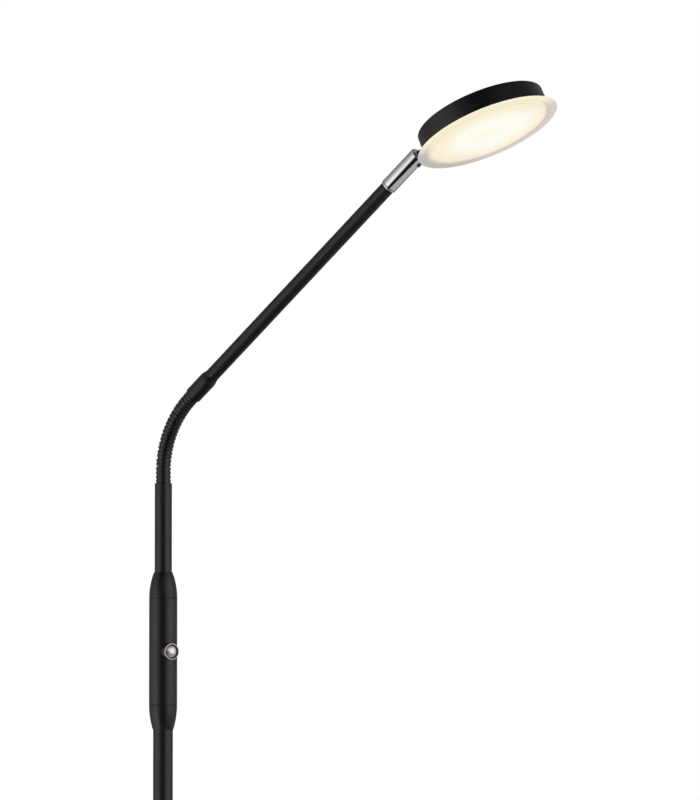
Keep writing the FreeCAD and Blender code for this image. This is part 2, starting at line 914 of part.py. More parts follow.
doc.recompute()
for item in doc.Objects:
    if "Invalid" in item.State or "Error" in item.State:
        raise RuntimeError("%s: %s" % (item.Label, item.State))
for part in parts:
    if part.Shape.isNull() or not part.Shape.isValid():
        raise RuntimeError("%s has no valid shape" % part.Label)

os.makedirs("parts", exist_ok=True)
for part in parts:
    part.Shape.exportStep("parts/%s.step" % part.Label)
print(len(parts), "parts")
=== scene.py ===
import json
import math

import bpy
from mathutils import Matrix, Vector


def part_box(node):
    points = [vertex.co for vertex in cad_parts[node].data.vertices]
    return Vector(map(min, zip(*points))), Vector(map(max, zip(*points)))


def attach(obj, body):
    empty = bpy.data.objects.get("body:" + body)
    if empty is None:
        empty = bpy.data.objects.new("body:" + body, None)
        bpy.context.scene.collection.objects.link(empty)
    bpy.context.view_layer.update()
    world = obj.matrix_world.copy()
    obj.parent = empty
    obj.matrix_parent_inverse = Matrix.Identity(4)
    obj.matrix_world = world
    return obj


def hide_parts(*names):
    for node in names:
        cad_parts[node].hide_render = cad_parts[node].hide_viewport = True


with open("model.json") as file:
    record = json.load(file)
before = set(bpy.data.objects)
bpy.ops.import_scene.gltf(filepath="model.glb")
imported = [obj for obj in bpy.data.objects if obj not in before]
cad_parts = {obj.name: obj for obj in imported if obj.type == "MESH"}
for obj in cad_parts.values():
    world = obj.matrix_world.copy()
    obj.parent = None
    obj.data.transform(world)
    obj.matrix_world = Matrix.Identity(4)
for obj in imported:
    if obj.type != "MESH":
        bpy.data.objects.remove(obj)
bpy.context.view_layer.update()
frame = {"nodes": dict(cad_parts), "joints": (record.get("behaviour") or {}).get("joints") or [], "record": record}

nodes = frame["nodes"]
joints = {joint["name"]: joint for joint in frame["joints"]}

MM = 0.001
FIT = 0.05 * MM
ROUND_STEPS = 96
CUTTER_STEPS = 48
SMOOTH_ANGLE = math.radians(32)
SHARP_ANGLE = math.radians(40)
FLAT_ANGLE = math.radians(0.5)
EDGE_SEGMENTS = 3
MERGE_GAP = 1e-7
COPY_MERGE_GAP = 1e-6
UPRIGHT_LIMIT = 0.1

# the lamp's axes and boxes, from the frame
PAD_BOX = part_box("floor_pad")
POLE_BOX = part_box("lower_pole")
SLEEVE_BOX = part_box("grip_sleeve")
TUBE_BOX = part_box("upper_tube")
COVER_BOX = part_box("base_cover")
ARM_WAY = Vector(joints["head_swivel"]["axis"])
KNUCKLE_START = Vector(joints["head_swivel"]["pos_m"])
PIN = Vector(joints["head_tilt"]["pos_m"])
BUTTON_WAY = -Vector(joints["button_press"]["axis"])


def axis_frame(point, way):
    """A matrix whose +Z runs along a way from a point, with its +Y kept level."""
    z = Vector(way).normalized()
    x = Vector((0, 1, 0)).cross(z)
    if x.length < UPRIGHT_LIMIT:
        x = Vector((1, 0, 0))
    x.normalize()
    y = z.cross(x)
    return Matrix.Translation(point) @ Matrix((x, y, z)).transposed().to_4x4()


POLE = Matrix.Identity(4)
BARREL = axis_frame(KNUCKLE_START, ARM_WAY)
# the head at rest, from its hinge to the middle of the glass's face
HEAD_TILT = math.radians(24.9)
HEAD_REACH = 82.7 * MM
HINGE_HEIGHT = 16.4 * MM
HEAD = (
    Matrix.Translation(PIN)
    @ Matrix.Rotation(-HEAD_TILT, 4, "Y")
    @ Matrix.Translation((HEAD_REACH, 0, -HINGE_HEIGHT))
)


# modelling helpers
def deselect():
    if bpy.context.object and bpy.context.object.mode != "OBJECT":
        bpy.ops.object.mode_set(mode="OBJECT")
    bpy.ops.object.select_all(action="DESELECT")


def pick(piece):
    deselect()
    piece.select_set(True)
    bpy.context.view_layer.objects.active = piece


def arc(start, end, radius, steps=10):
    """Points of an arc that bulges away from the axis, from start to end, ends left out."""
    a, b = Vector(start), Vector(end)
    half = (b - a).length / 2
    side = Vector(((b - a).y, -(b - a).x)).normalized()
    if side.x < 0:
        side = -side
    centre = (a + b) / 2 - side * math.sqrt(max(radius**2 - half**2, 0))
    first, last = a - centre, b - centre
    turn = first.angle_signed(last)
    spots = []
    for step in range(1, steps):
        angle = -turn * step / steps
        c, s = math.cos(angle), math.sin(angle)
        spot = centre + Vector((first.x * c - first.y * s, first.x * s + first.y * c))
        spots.append((spot.x, spot.y))
    return spots


def turned(name, outline, place, steps=ROUND_STEPS):
    """A turned piece: an outline of (radius, height) extruded point by point, then spun about Z.

    An outline that starts off the axis is a ring's, so its two ends are joined.
    """
    deselect()
    bpy.ops.mesh.primitive_plane_add(size=MM, location=(0, 0, 0))
    piece = bpy.context.object
    piece.name = name
    bpy.ops.object.mode_set(mode="EDIT")
    bpy.ops.mesh.select_all(action="SELECT")
    bpy.ops.mesh.merge(type="CENTER")
    here = Vector((outline[0][0], 0, outline[0][1]))
    bpy.ops.transform.translate(value=here)
    for radius, height in outline[1:]:
        there = Vector((radius, 0, height))
        bpy.ops.mesh.extrude_vertices_move(TRANSFORM_OT_translate={"value": there - here})
        here = there
    if outline[0][0] > 0:
        bpy.ops.mesh.select_all(action="SELECT")
        bpy.ops.object.mode_set(mode="OBJECT")
        count = len(piece.data.vertices)
        ends = {0, count - 1}
        for vertex in piece.data.vertices:
            vertex.select = vertex.index in ends
        bpy.ops.object.mode_set(mode="EDIT")
        bpy.ops.mesh.select_mode(type="VERT")
        bpy.ops.mesh.edge_face_add()
    bpy.ops.mesh.select_all(action="SELECT")
    bpy.ops.mesh.spin(steps=steps, angle=2 * math.pi, center=(0, 0, 0), axis=(0, 0, 1))
    bpy.ops.mesh.select_all(action="SELECT")
    bpy.ops.mesh.remove_doubles(threshold=MERGE_GAP)
    bpy.ops.mesh.normals_make_consistent(inside=False)
    bpy.ops.object.mode_set(mode="OBJECT")
    put(piece, place)
    return piece


def put(piece, place):
    """Move a piece to its place and leave that place in its mesh."""
    pick(piece)
    piece.matrix_world = place @ piece.matrix_world
    bpy.ops.object.transform_apply(location=True, rotation=True, scale=True)


def smooth(piece):
    pick(piece)
    bpy.ops.object.shade_smooth_by_angle(angle=SMOOTH_ANGLE)


def apply_all(piece):
    pick(piece)
    for modifier in list(piece.modifiers):
        bpy.ops.object.modifier_apply(modifier=modifier.name)


def carve(piece, cutter):
    """Cut one mesh out of another and throw the cutter away."""
    modifier = piece.modifiers.new("carve", "BOOLEAN")
    modifier.operation = "DIFFERENCE"
    modifier.solver = "EXACT"
    modifier.object = cutter
    apply_all(piece)
    bpy.data.objects.remove(cutter)


def finish_piece(piece, material, slot, body, *stands_for):
    """Give a piece its finish, the body it rides on and the nodes it stands for."""
    piece.data.materials.clear()
    piece.data.materials.append(material)
    smooth(piece)
    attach(piece, body)
    if stands_for:
        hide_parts(*stands_for)
    return piece


# materials
def new_material(name):
    material = bpy.data.materials.new(name)
    material.use_nodes = True
    tree = material.node_tree
    shader = tree.nodes["Principled BSDF"]
    return material, tree, shader


def add_group(name, inputs, outputs):
    """An empty shader group with named sockets."""
    group = bpy.data.node_groups.new(name, "ShaderNodeTree")
    for way, sockets in (("INPUT", inputs), ("OUTPUT", outputs)):
        for label, kind in sockets:
            group.interface.new_socket(label, in_out=way, socket_type=kind)
    return group, group.nodes.new("NodeGroupInput"), group.nodes.new("NodeGroupOutput")


GRAIN_DETAIL = 3
MARKS_PER_METRE = 26
MARKS_DETAIL = 5
MARKS_LOW = 0.35
MARKS_HIGH = 0.65


def grain_group():
    """Fine surface grain: a fine noise gives a height, and soft handling marks vary gloss and dust."""
    group, start, end = add_group(
        "surface_grain",
        [
            ("Grain per metre", "NodeSocketFloat"),
            ("Roughness", "NodeSocketFloat"),
            ("Roughness change", "NodeSocketFloat"),
            ("Base", "NodeSocketColor"),
            ("Dusty", "NodeSocketColor"),
            ("Dust", "NodeSocketFloat"),
        ],
        [
            ("Colour", "NodeSocketColor"),
            ("Roughness", "NodeSocketFloat"),
            ("Height", "NodeSocketFloat"),
        ],
    )
    n, link = group.nodes, group.links.new
    place = n.new("ShaderNodeTexCoord")
    fine = n.new("ShaderNodeTexNoise")
    fine.inputs["Detail"].default_value = GRAIN_DETAIL
    link(place.outputs["Object"], fine.inputs["Vector"])
    link(start.outputs["Grain per metre"], fine.inputs["Scale"])
    marks = n.new("ShaderNodeTexNoise")
    marks.inputs["Scale"].default_value = MARKS_PER_METRE
    marks.inputs["Detail"].default_value = MARKS_DETAIL
    link(place.outputs["Object"], marks.inputs["Vector"])
    spread = n.new("ShaderNodeMapRange")
    spread.inputs["From Min"].default_value = MARKS_LOW
    spread.inputs["From Max"].default_value = MARKS_HIGH
    spread.inputs["To Min"].default_value = -1
    link(marks.outputs["Fac"], spread.inputs["Value"])
    change = n.new("ShaderNodeMath")
    change.operation = "MULTIPLY_ADD"
    link(spread.outputs["Result"], change.inputs[0])
    link(start.outputs["Roughness change"], change.inputs[1])
    link(start.outputs["Roughness"], change.inputs[2])
    dust = n.new("ShaderNodeMath")
    dust.operation = "MULTIPLY"
    link(marks.outputs["Fac"], dust.inputs[0])
    link(start.outputs["Dust"], dust.inputs[1])
    mix = n.new("ShaderNodeMix")
    mix.data_type = "RGBA"
    link(dust.outputs["Value"], mix.inputs["Factor"])
    link(start.outputs["Base"], mix.inputs["A"])
    link(start.outputs["Dusty"], mix.inputs["B"])
    link(mix.outputs["Result"], end.inputs["Colour"])
    link(change.outputs["Value"], end.inputs["Roughness"])
    link(fine.outputs["Fac"], end.inputs["Height"])
    return group


SURFACE_GRAIN = grain_group()


def grained(
    name, base, dusty, dust, grain, roughness, change, bump, depth, metallic=0.0, specular=0.5
):
    """A material whose colour, gloss and fine relief come from the shared grain.

    base and dusty are its colours, dust and change how much the marks vary colour and gloss, grain
    the noise per metre, and bump and depth the relief's strength and height.
    """
    material, tree, shader = new_material(name)
    shader.inputs["Metallic"].default_value = metallic
    shader.inputs["Specular IOR Level"].default_value = specular
    surface = tree.nodes.new("ShaderNodeGroup")
    surface.node_tree = SURFACE_GRAIN
    surface.inputs["Grain per metre"].default_value = grain
    surface.inputs["Roughness"].default_value = roughness
    surface.inputs["Roughness change"].default_value = change
    surface.inputs["Base"].default_value = (*base, 1)
    surface.inputs["Dusty"].default_value = (*dusty, 1)
    surface.inputs["Dust"].default_value = dust
    relief = tree.nodes.new("ShaderNodeBump")
    relief.inputs["Strength"].default_value = bump
    relief.inputs["Distance"].default_value = depth
    tree.links.new(surface.outputs["Colour"], shader.inputs["Base Color"])
    tree.links.new(surface.outputs["Roughness"], shader.inputs["Roughness"])
    tree.links.new(surface.outputs["Height"], relief.inputs["Height"])
    tree.links.new(relief.outputs["Normal"], shader.inputs["Normal"])
    return material


SATIN_BLACK = grained(
    "satin_black_paint", base=(0.0018, 0.0018, 0.0019), dusty=(0.005, 0.005, 0.0051), dust=0.3,
    grain=1600, roughness=0.34, change=0.03, bump=0.12, depth=0.05 * MM,
)
POLE_BLACK = grained(
    "satin_black_pole_paint", base=(0.0018, 0.0018, 0.0019), dusty=(0.005, 0.005, 0.0051), dust=0.3,
    grain=1600, roughness=0.34, change=0.03, bump=0.12, depth=0.05 * MM, specular=0.68,
)
HOSE_BLACK = grained(
    "black_hose_lacquer", base=(0.0018, 0.0018, 0.0019), dusty=(0.005, 0.005, 0.0051), dust=0.3,
    grain=1900, roughness=0.3, change=0.03, bump=0.08, depth=0.03 * MM, specular=0.7,
)
CHROME = grained(
    "polished_chrome", base=(0.86, 0.86, 0.88), dusty=(0.8, 0.8, 0.81), dust=0.1,
    grain=3000, roughness=0.045, change=0.012, bump=0.02, depth=0.01 * MM, metallic=1.0,
)
SATIN_SILVER = grained(
    "satin_silver_bezel", base=(0.60, 0.59, 0.58), dusty=(0.53, 0.52, 0.51), dust=0.3,
    grain=2600, roughness=0.30, change=0.04, bump=0.08, depth=0.02 * MM, metallic=1.0,
)
# the satin silver darkened as painted shade, for the button's sunk collar
PAINTED_SHADE_SILVER = grained(
    "silver_with_painted_shade", base=(0.13, 0.13, 0.13), dusty=(0.10, 0.10, 0.10), dust=0.3,
    grain=2600, roughness=0.42, change=0.04, bump=0.08, depth=0.02 * MM, metallic=1.0,
)
PEARL_SILVER = grained(
    "pearl_silver_button", base=(0.98, 0.93, 0.91), dusty=(0.92, 0.87, 0.85), dust=0.3,
    grain=2600, roughness=0.30, change=0.04, bump=0.08, depth=0.02 * MM, metallic=1.0,
)
STEEL = grained(
    "zinc_plated_steel", base=(0.5, 0.51, 0.53), dusty=(0.42, 0.42, 0.42), dust=0.4,
    grain=1400, roughness=0.34, change=0.06, bump=0.1, depth=0.03 * MM, metallic=1.0,
)
DARK_STEEL = grained(
    "blackened_steel", base=(0.03, 0.03, 0.031), dusty=(0.05, 0.05, 0.05), dust=0.3,
    grain=1400, roughness=0.4, change=0.05, bump=0.1, depth=0.03 * MM, metallic=0.6,
)
BRASS = grained(
    "bright_brass", base=(0.72, 0.5, 0.2), dusty=(0.6, 0.4, 0.15), dust=0.4,
    grain=1500, roughness=0.25, change=0.05, bump=0.06, depth=0.02 * MM, metallic=1.0,
)
CAST_IRON = grained(
    "grey_cast_iron", base=(0.09, 0.09, 0.092), dusty=(0.16, 0.13, 0.11), dust=0.5,
    grain=620, roughness=0.62, change=0.08, bump=0.6, depth=0.25 * MM, metallic=0.6,
)
RUBBER = grained(
    "black_rubber", base=(0.012, 0.012, 0.012), dusty=(0.03, 0.03, 0.03), dust=0.4,
    grain=900, roughness=0.72, change=0.05, bump=0.35, depth=0.1 * MM,
)
DARK_PLASTIC = grained(
    "dark_moulded_plastic", base=(0.012, 0.012, 0.013), dusty=(0.025, 0.025, 0.026), dust=0.3,
    grain=1200, roughness=0.5, change=0.05, bump=0.2, depth=0.05 * MM,
)
BOARD_GREEN = grained(
    "green_circuit_board", base=(0.02, 0.1, 0.045), dusty=(0.03, 0.13, 0.06), dust=0.4,
    grain=800, roughness=0.35, change=0.05, bump=0.1, depth=0.03 * MM,
)
BOARD_WHITE = grained(
    "white_light_board", base=(0.8, 0.8, 0.78), dusty=(0.75, 0.75, 0.73), dust=0.3,
    grain=900, roughness=0.4, change=0.05, bump=0.08, depth=0.03 * MM,
)
CHIP_YELLOW = grained(
    "phosphor_chip", base=(0.85, 0.62, 0.12), dusty=(0.8, 0.55, 0.1), dust=0.3,
    grain=2200, roughness=0.3, change=0.04, bump=0.1, depth=0.02 * MM,
)
WHITE_MOULDING = grained(
    "white_moulding", base=(0.85, 0.85, 0.83), dusty=(0.8, 0.8, 0.78), dust=0.3,
    grain=1000, roughness=0.5, change=0.05, bump=0.1, depth=0.03 * MM,
)


def ramp(tree, stops):
    """A colour ramp from (position, colour) stops."""
    node = tree.nodes.new("ShaderNodeValToRGB")
    while len(node.color_ramp.elements) < len(stops):
        node.color_ramp.elements.new(0.5)
    for element, (position, colour) in zip(node.color_ramp.elements, stops):
        element.position = position
        element.color = (*colour, 1)
    return node


# the glow's colours; the rim's colours carry painted light, painted shade and painted shade lines
GLOW_HEART = (0.97, 0.94, 0.71)
GLOW_CREAM = (0.98, 0.97, 0.87)
GLOW_PEACH = (0.99, 0.88, 0.67)
PLATE_EDGE = (0.93, 0.80, 0.64)
# painted shade: a darker line where the drum's edge lies behind the glass
EDGE_SHADE = (0.60, 0.53, 0.47)
PALE_RIM = (0.66, 0.61, 0.57)
# painted light on the rim's lit side
PAINTED_LIT_RIM = (0.95, 0.87, 0.65)
# painted shade: thin darker lines in the lit side's rim glow
PAINTED_SHADE_LINE = (0.84, 0.74, 0.54)
# painted shade on the rim's hinge side
SHADED_RIM = (0.50, 0.47, 0.44)

# the glow from the plate's middle to its rim, where a painted shade line shows the drum's edge behind it
PLAIN_GLOW = [
    (0, GLOW_HEART), (0.25, GLOW_CREAM), (0.55, GLOW_CREAM), (0.77, GLOW_PEACH), (0.83, PLATE_EDGE),
    (0.873, EDGE_SHADE), (0.9, PALE_RIM),
]
# the same on the hinge's side, where the rim is in shade, painted into its glow
SHADED_GLOW = [
    (0, GLOW_HEART), (0.25, GLOW_CREAM), (0.42, GLOW_CREAM), (0.65, GLOW_PEACH), (0.8, PLATE_EDGE),
    (0.885, SHADED_RIM),
]
# and on the side where the rim catches the light, painted into its glow as a warm lit rim
PAINTED_LIT_GLOW = [
    (0, GLOW_HEART), (0.25, GLOW_CREAM), (0.45, GLOW_CREAM), (0.68, PAINTED_LIT_RIM), (0.77, PAINTED_LIT_RIM),
    (0.803, PAINTED_SHADE_LINE), (0.835, PAINTED_LIT_RIM), (0.87, PAINTED_LIT_RIM), (0.892, PAINTED_SHADE_LINE), (0.92, PAINTED_LIT_RIM),
]
# the ways that the rim's painted shade and painted light face
HINGE_SIDE = (-1, 0, 0)
LIT_SIDE = (0.5, -0.86, 0)
# each side's glow, with the rim's painted shade on the hinge's side and painted light on the lit side, the way it
# faces, and how far round that side it starts and is full
GLOW_SIDES = (
    (PLAIN_GLOW, None, 0, 0),
    (SHADED_GLOW, HINGE_SIDE, 0.45, 0.95),
    (PAINTED_LIT_GLOW, LIT_SIDE, 0.05, 0.55),
)
GLOW_STRENGTH = 0.96
# the glass is 0.7 mm smaller than its solid, as in the photo
GLASS_RADIUS = 70.9 * MM
GLASS_BASE = (0.03, 0.028, 0.026, 1)
GLASS_ROUGHNESS = 0.35
GLASS_SPECULAR = 0.2
CLOUDS_PER_METRE = 22
CLOUDS_DETAIL = 2
WAVER = 0.03


def lit_opal():
    """Opal acrylic lit from behind: a warm even glow, peach at its edge, and a pale unlit rim, with painted shade
    on the rim's hinge side and painted light on its lit side.
    """
    material, tree, shader = new_material("lit_opal_acrylic")
    n, link = tree.nodes, tree.links.new
    shader.inputs["Roughness"].default_value = GLASS_ROUGHNESS
    shader.inputs["Specular IOR Level"].default_value = GLASS_SPECULAR
    place = n.new("ShaderNodeTexCoord")
    turn = n.new("ShaderNodeMapping")
    turn.vector_type = "TEXTURE"
    spot, angle, _ = HEAD.decompose()
    turn.inputs["Location"].default_value = spot
    turn.inputs["Rotation"].default_value = angle.to_euler()
    link(place.outputs["Object"], turn.inputs["Vector"])
    flat = n.new("ShaderNodeVectorMath")
    flat.operation = "MULTIPLY"
    flat.inputs[1].default_value = (1, 1, 0)
    link(turn.outputs["Vector"], flat.inputs[0])
    reach = n.new("ShaderNodeVectorMath")
    reach.operation = "LENGTH"
    link(flat.outputs["Vector"], reach.inputs[0])
    share = n.new("ShaderNodeMath")
    share.operation = "DIVIDE"
    share.inputs[1].default_value = GLASS_RADIUS
    link(reach.outputs["Value"], share.inputs[0])
    clouds = n.new("ShaderNodeTexNoise")
    clouds.inputs["Scale"].default_value = CLOUDS_PER_METRE
    clouds.inputs["Detail"].default_value = CLOUDS_DETAIL
    link(turn.outputs["Vector"], clouds.inputs["Vector"])
    waver = n.new("ShaderNodeMath")
    waver.operation = "MULTIPLY_ADD"
    waver.inputs[1].default_value = WAVER
    waver.inputs[2].default_value = -WAVER / 2
    link(clouds.outputs["Fac"], waver.inputs[0])
    drift = n.new("ShaderNodeMath")
    link(share.outputs["Value"], drift.inputs[0])
    link(waver.outputs["Value"], drift.inputs[1])
    way = n.new("ShaderNodeVectorMath")
    way.operation = "NORMALIZE"
    link(flat.outputs["Vector"], way.inputs[0])
    colour = None
    for stops, side, low, high in GLOW_SIDES:
        glow = ramp(tree, stops)
        link(drift.outputs["Value"], glow.inputs["Fac"])
        if side is None:
            colour = glow.outputs["Color"]
            continue
        facing = n.new("ShaderNodeVectorMath")
        facing.operation = "DOT_PRODUCT"
        facing.inputs[1].default_value = side
        link(way.outputs["Vector"], facing.inputs[0])
        much = n.new("ShaderNodeMapRange")
        much.interpolation_type = "SMOOTHSTEP"
        much.inputs["From Min"].default_value = low
        much.inputs["From Max"].default_value = high
        link(facing.outputs["Value"], much.inputs["Value"])
        mix = n.new("ShaderNodeMix")
        mix.data_type = "RGBA"
        link(much.outputs["Result"], mix.inputs["Factor"])
        link(colour, mix.inputs["A"])
        link(glow.outputs["Color"], mix.inputs["B"])
        colour = mix.outputs["Result"]
    link(colour, shader.inputs["Emission Color"])
    shader.inputs["Emission Strength"].default_value = GLOW_STRENGTH
    shader.inputs["Base Color"].default_value = GLASS_BASE
    return material


LIT_OPAL = lit_opal()

NODE_FINISH = {
    SATIN_BLACK: (
        "lower_pole", "grip_lower_cap", "grip_sleeve", "grip_upper_cap", "upper_tube", "arm_collar",
        "arm_tube", "head_tongue", "drum_housing", "base_cover",
    ),
    HOSE_BLACK: tuple(name for name in nodes if name.startswith("neck_")),
    CHROME: ("button_ring", "knuckle_ring", "knuckle"),
    PEARL_SILVER: ("push_button",),
    STEEL: (
        "tube_set_screw", "bottom_plate", "pole_stud", "pole_washer", "pole_nut", "pole_insert",
        "hinge_pin",
    ),
    BRASS: ("arm_spindle",),
    CAST_IRON: ("base_weight",),
    RUBBER: ("floor_pad", "cord_grommet"),
    DARK_PLASTIC: ("switch_body", "friction_washers"),
    BOARD_GREEN: ("driver_board",),
    BOARD_WHITE: ("led_board",),
    CHIP_YELLOW: ("led_chips",),
    WHITE_MOULDING: ("reflector",),
    LIT_OPAL: ("diffuser",),
}
for finish, names in NODE_FINISH.items():
    for name in names:
        nodes[name].data.materials.clear()
        nodes[name].data.materials.append(finish)

# the lamp's own sizes; the ribs stand 0.3 mm proud of their solids
EDGE = 0.25 * MM
WIDE_STEPS = 180
COVER_EDGE = 5 * MM
COVER_WALL = 1.2 * MM
STUD_BORE = 5.05 * MM
PAD_EDGE = 0.8 * MM
PAD_STEPS = 128
HOLE_OVERRUN = 1 * MM
BUSH_LIP = 0.9 * MM
BUSH_WALL = 1 * MM
BUSH_STAND = 1.2 * MM
SMALL_STEPS = 48
POLE_WALL = 1.2 * MM
GRIP_WALL = 1.5 * MM
SPIGOT_LENGTH = 8 * MM
LOW_CAP_LENGTH = 25 * MM
LOW_CAP_LIP = 0.34 * MM
TOP_CAP_LENGTH = 26 * MM
TOP_CAP_LIP = 0.6 * MM
SLEEVE_STEPS = 144
SLEEVE_ROOM_SHARE = 1.3
CUTTER_REACH_SHARE = 1.4
BEZEL_RADIUS = 8.3 * MM
BEZEL_WALL = 2.2 * MM
BEZEL_LIP = 1.15 * MM
BEZEL_THICK = 0.9 * MM
BEZEL_BACK = 9.9 * MM
BUTTON_STAND = 3.5 * MM
BUTTON_GAP = 0.15 * MM
BUTTON_SUNK = 0.5 * MM
BUTTON_SKIRT = 3.4 * MM
BUTTON_STEM = 2.3 * MM
BUTTON_RISE = 1.0 * MM
BUTTON_DROP = 0.7 * MM
BUTTON_STEPS = 64
STEM_RADIUS = 2 * MM
TUBE_WALL = 1.15 * MM
SCREW_DROP = 3.2 * MM
SCREW_RADIUS = 1.3 * MM
SCREW_TURN = math.radians(-100)
SCREW_IN = 6.4 * MM
SCREW_OUT = 8.1 * MM
SCREW_STEPS = 36
KEY_DEPTH = 2 * MM
RIB_PITCH = 4.083 * MM
RIB_GAP = 1.233 * MM
RIB_RADIUS = 7.45 * MM
RIB_ROUND = 0.4 * MM
RIB_LIP = 0.25 * MM
LIP_SET_BACK = 0.4 * MM
ROOT_RADIUS = 6.85 * MM
NOSE_RADIUS = 6.5 * MM
NOSE_REACH = 0.5 * MM
SOCKET_RADIUS = 7.15 * MM
SOCKET_DEPTH = 2.8 * MM
NECK_BORE = 2.8 * MM
NECK_BEND = math.radians(49.7)
FOOT_RIBS = 4
STRAIGHT_RIBS = 3
LINK_RIBS = 2
LINK_COUNT = 9
RIB_STEPS = 72
PLUG_LENGTH = 22 * MM
COLLAR_RADIUS = 8.55 * MM
COLLAR_LENGTH = 24.2 * MM
SHOULDER_LENGTH = 6.4 * MM
SHOULDER_LIP = 0.1 * MM
SHOULDER_START = 1 * MM
SHOULDER_STEPS = 12
ARM_RADIUS = 7.05 * MM
ARM_WALL = 1 * MM
ARM_REACH = 302.5 * MM
RING_LENGTH = 1.75 * MM
KNUCKLE_SEAM = 0.3 * MM
KNUCKLE_RADIUS = 7.9 * MM
KNUCKLE_LENGTH = 44.5 * MM
KNUCKLE_ROUND = 3 * MM
KNUCKLE_LAND = 10 * MM
KNUCKLE_WELL = 6.3 * MM
SPINDLE_RADIUS = 3.5 * MM
PIN_BACK = 7.25 * MM
PIN_RADIUS = 2 * MM
PIN_HALF = 7.1 * MM
SLOT_WIDTH = 4.1 * MM
SLOT_BACK = 10.2 * MM
SLOT_SPAN_SHARE = 3
TONGUE_EDGE = 0.3 * MM
DRUM_RADIUS = 63.6 * MM
DRUM_TAPER = 0.4 * MM
DRUM_EDGE = 1.2 * MM
DRUM_WALL = 2 * MM
DRUM_BACK = 2.4 * MM
HEAD_THICK = 21.3 * MM
GLASS_THICK = 1 * MM
GLASS_SEAT = 3 * MM
LIP_DEPTH = 0.3 * MM
LIP_WIDTH = 4 * MM
FLANGE_BACK = 1 * MM

grip_radius = SLEEVE_BOX[1].x
sleeve_low = SLEEVE_BOX[0].z
sleeve_high = SLEEVE_BOX[1].z
pole_radius = POLE_BOX[1].x
tube_radius = TUBE_BOX[1].x
mouth = TUBE_BOX[1].z
button_height = (sleeve_low + sleeve_high) / 2


def cutter_cylinder(radius, low, high, place):
    """A cylinder along a place's +Z, to cut with.

    Its own place counts twice, here and in put(), so its middle lies at low + high.
    """
    deselect()
    bpy.ops.mesh.primitive_cylinder_add(
        vertices=CUTTER_STEPS, radius=radius, depth=high - low, location=(0, 0, (low + high) / 2)
    )
    tool = bpy.context.object
    put(tool, place @ tool.matrix_world)
    return tool


def soften(piece, width):
    """Break a piece's sharp edges."""
    modifier = piece.modifiers.new("soft_edges", "BEVEL")
    modifier.width = width
    modifier.segments = EDGE_SEGMENTS
    modifier.limit_method = "ANGLE"
    modifier.angle_limit = SHARP_ANGLE
    apply_all(piece)
    return piece


def copy_of(piece, name):
    """A copy with its own mesh."""
    pick(piece)
    bpy.ops.object.duplicate()
    copy = bpy.context.object
    copy.name = name
    return copy


# base
def cord_hole():
    """The place of the cord's hole in the base's back, its radius and its length."""
    low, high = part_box("cord_grommet")
    place = axis_frame(Vector((low.x, 0, (low.z + high.z) / 2)), (1, 0, 0))
    return place, (high.z - low.z) / 2, high.x - low.x


def base_shell():
    """The weighted base's spun steel cover, with its rolled edge and the cord's hole behind."""
    radius, low, high = COVER_BOX[1].x, COVER_BOX[0].z, COVER_BOX[1].z
    inner = radius - COVER_WALL
    turn = radius - COVER_EDGE
    outline = [(inner, low), (radius, low), (radius, high - COVER_EDGE)]
    outline += arc((radius, high - COVER_EDGE), (turn, high), COVER_EDGE)
    under = high - COVER_WALL
    outline += [(turn, high), (STUD_BORE, high), (STUD_BORE, under), (turn, under)]
    outline += arc((turn, under), (inner, high - COVER_EDGE), COVER_EDGE - COVER_WALL)
    outline += [(inner, high - COVER_EDGE)]
    shell = turned("base_shell", outline, POLE, steps=WIDE_STEPS)
    place, radius, length = cord_hole()
    carve(shell, cutter_cylinder(radius + FIT, -HOLE_OVERRUN, length + HOLE_OVERRUN, place))
    return finish_piece(shell, SATIN_BLACK, "black_paint", "pole", "base_cover")


def base_pad():
    radius, low, high = PAD_BOX[1].x, PAD_BOX[0].z, PAD_BOX[1].z
    outline = [(0, low), (radius - PAD_EDGE, low)]
    outline += arc((radius - PAD_EDGE, low), (radius, low + PAD_EDGE), PAD_EDGE, steps=5)
    outline += [(radius, low + PAD_EDGE), (radius, high), (0, high)]
    pad = turned("rubber_floor_pad", outline, POLE, steps=PAD_STEPS)
    return finish_piece(pad, RUBBER, "rubber", "pole", "floor_pad")


def cord_bush():
    """The rubber bush in the cord's hole, with a small flange outside."""
    place, radius, length = cord_hole()
    flange, bore = radius + BUSH_LIP, radius - BUSH_WALL
    outline = [(bore, 0), (flange - EDGE * 2, 0), (flange, EDGE * 2), (flange, BUSH_STAND)]
    outline += [(radius, BUSH_STAND), (radius, length), (bore, length)]
    bush = turned("cord_bush", outline, place, steps=SMALL_STEPS)
    return finish_piece(bush, RUBBER, "rubber", "pole", "cord_grommet")


base_shell()
base_pad()
cord_bush()


# pole, grip and upper tube
def pole_tube():
    low, high = POLE_BOX[0].z, POLE_BOX[1].z
    inner = pole_radius - POLE_WALL
    outline = [(inner, low), (pole_radius, low), (pole_radius, high), (inner, high)]
    tube = turned("pole_tube", outline, POLE)
    return finish_piece(tube, POLE_BLACK, "black_paint", "pole", "lower_pole")


def grip_end(name, node, tube, lip, length, seam, way):
    """A cap that swells in one curve from a tube to the grip."""
    inner = tube + FIT
    spigot = grip_radius - GRIP_WALL - FIT
    drop = grip_radius - tube - lip
    swell = (length**2 + drop**2) / (2 * drop)
    root, start, end = seam - SPIGOT_LENGTH * way, seam + EDGE * way, seam + length * way
    outline = [(inner, root), (spigot, root), (spigot, seam), (grip_radius - EDGE, seam)]
    outline += [(grip_radius, start)]
    outline += arc((grip_radius, start), (tube + lip, end), swell, steps=16)
    outline += [(tube + lip, end), (inner, end)]
    cap = turned(name, outline, POLE)
    return finish_piece(cap, POLE_BLACK, "black_paint", "pole", node)


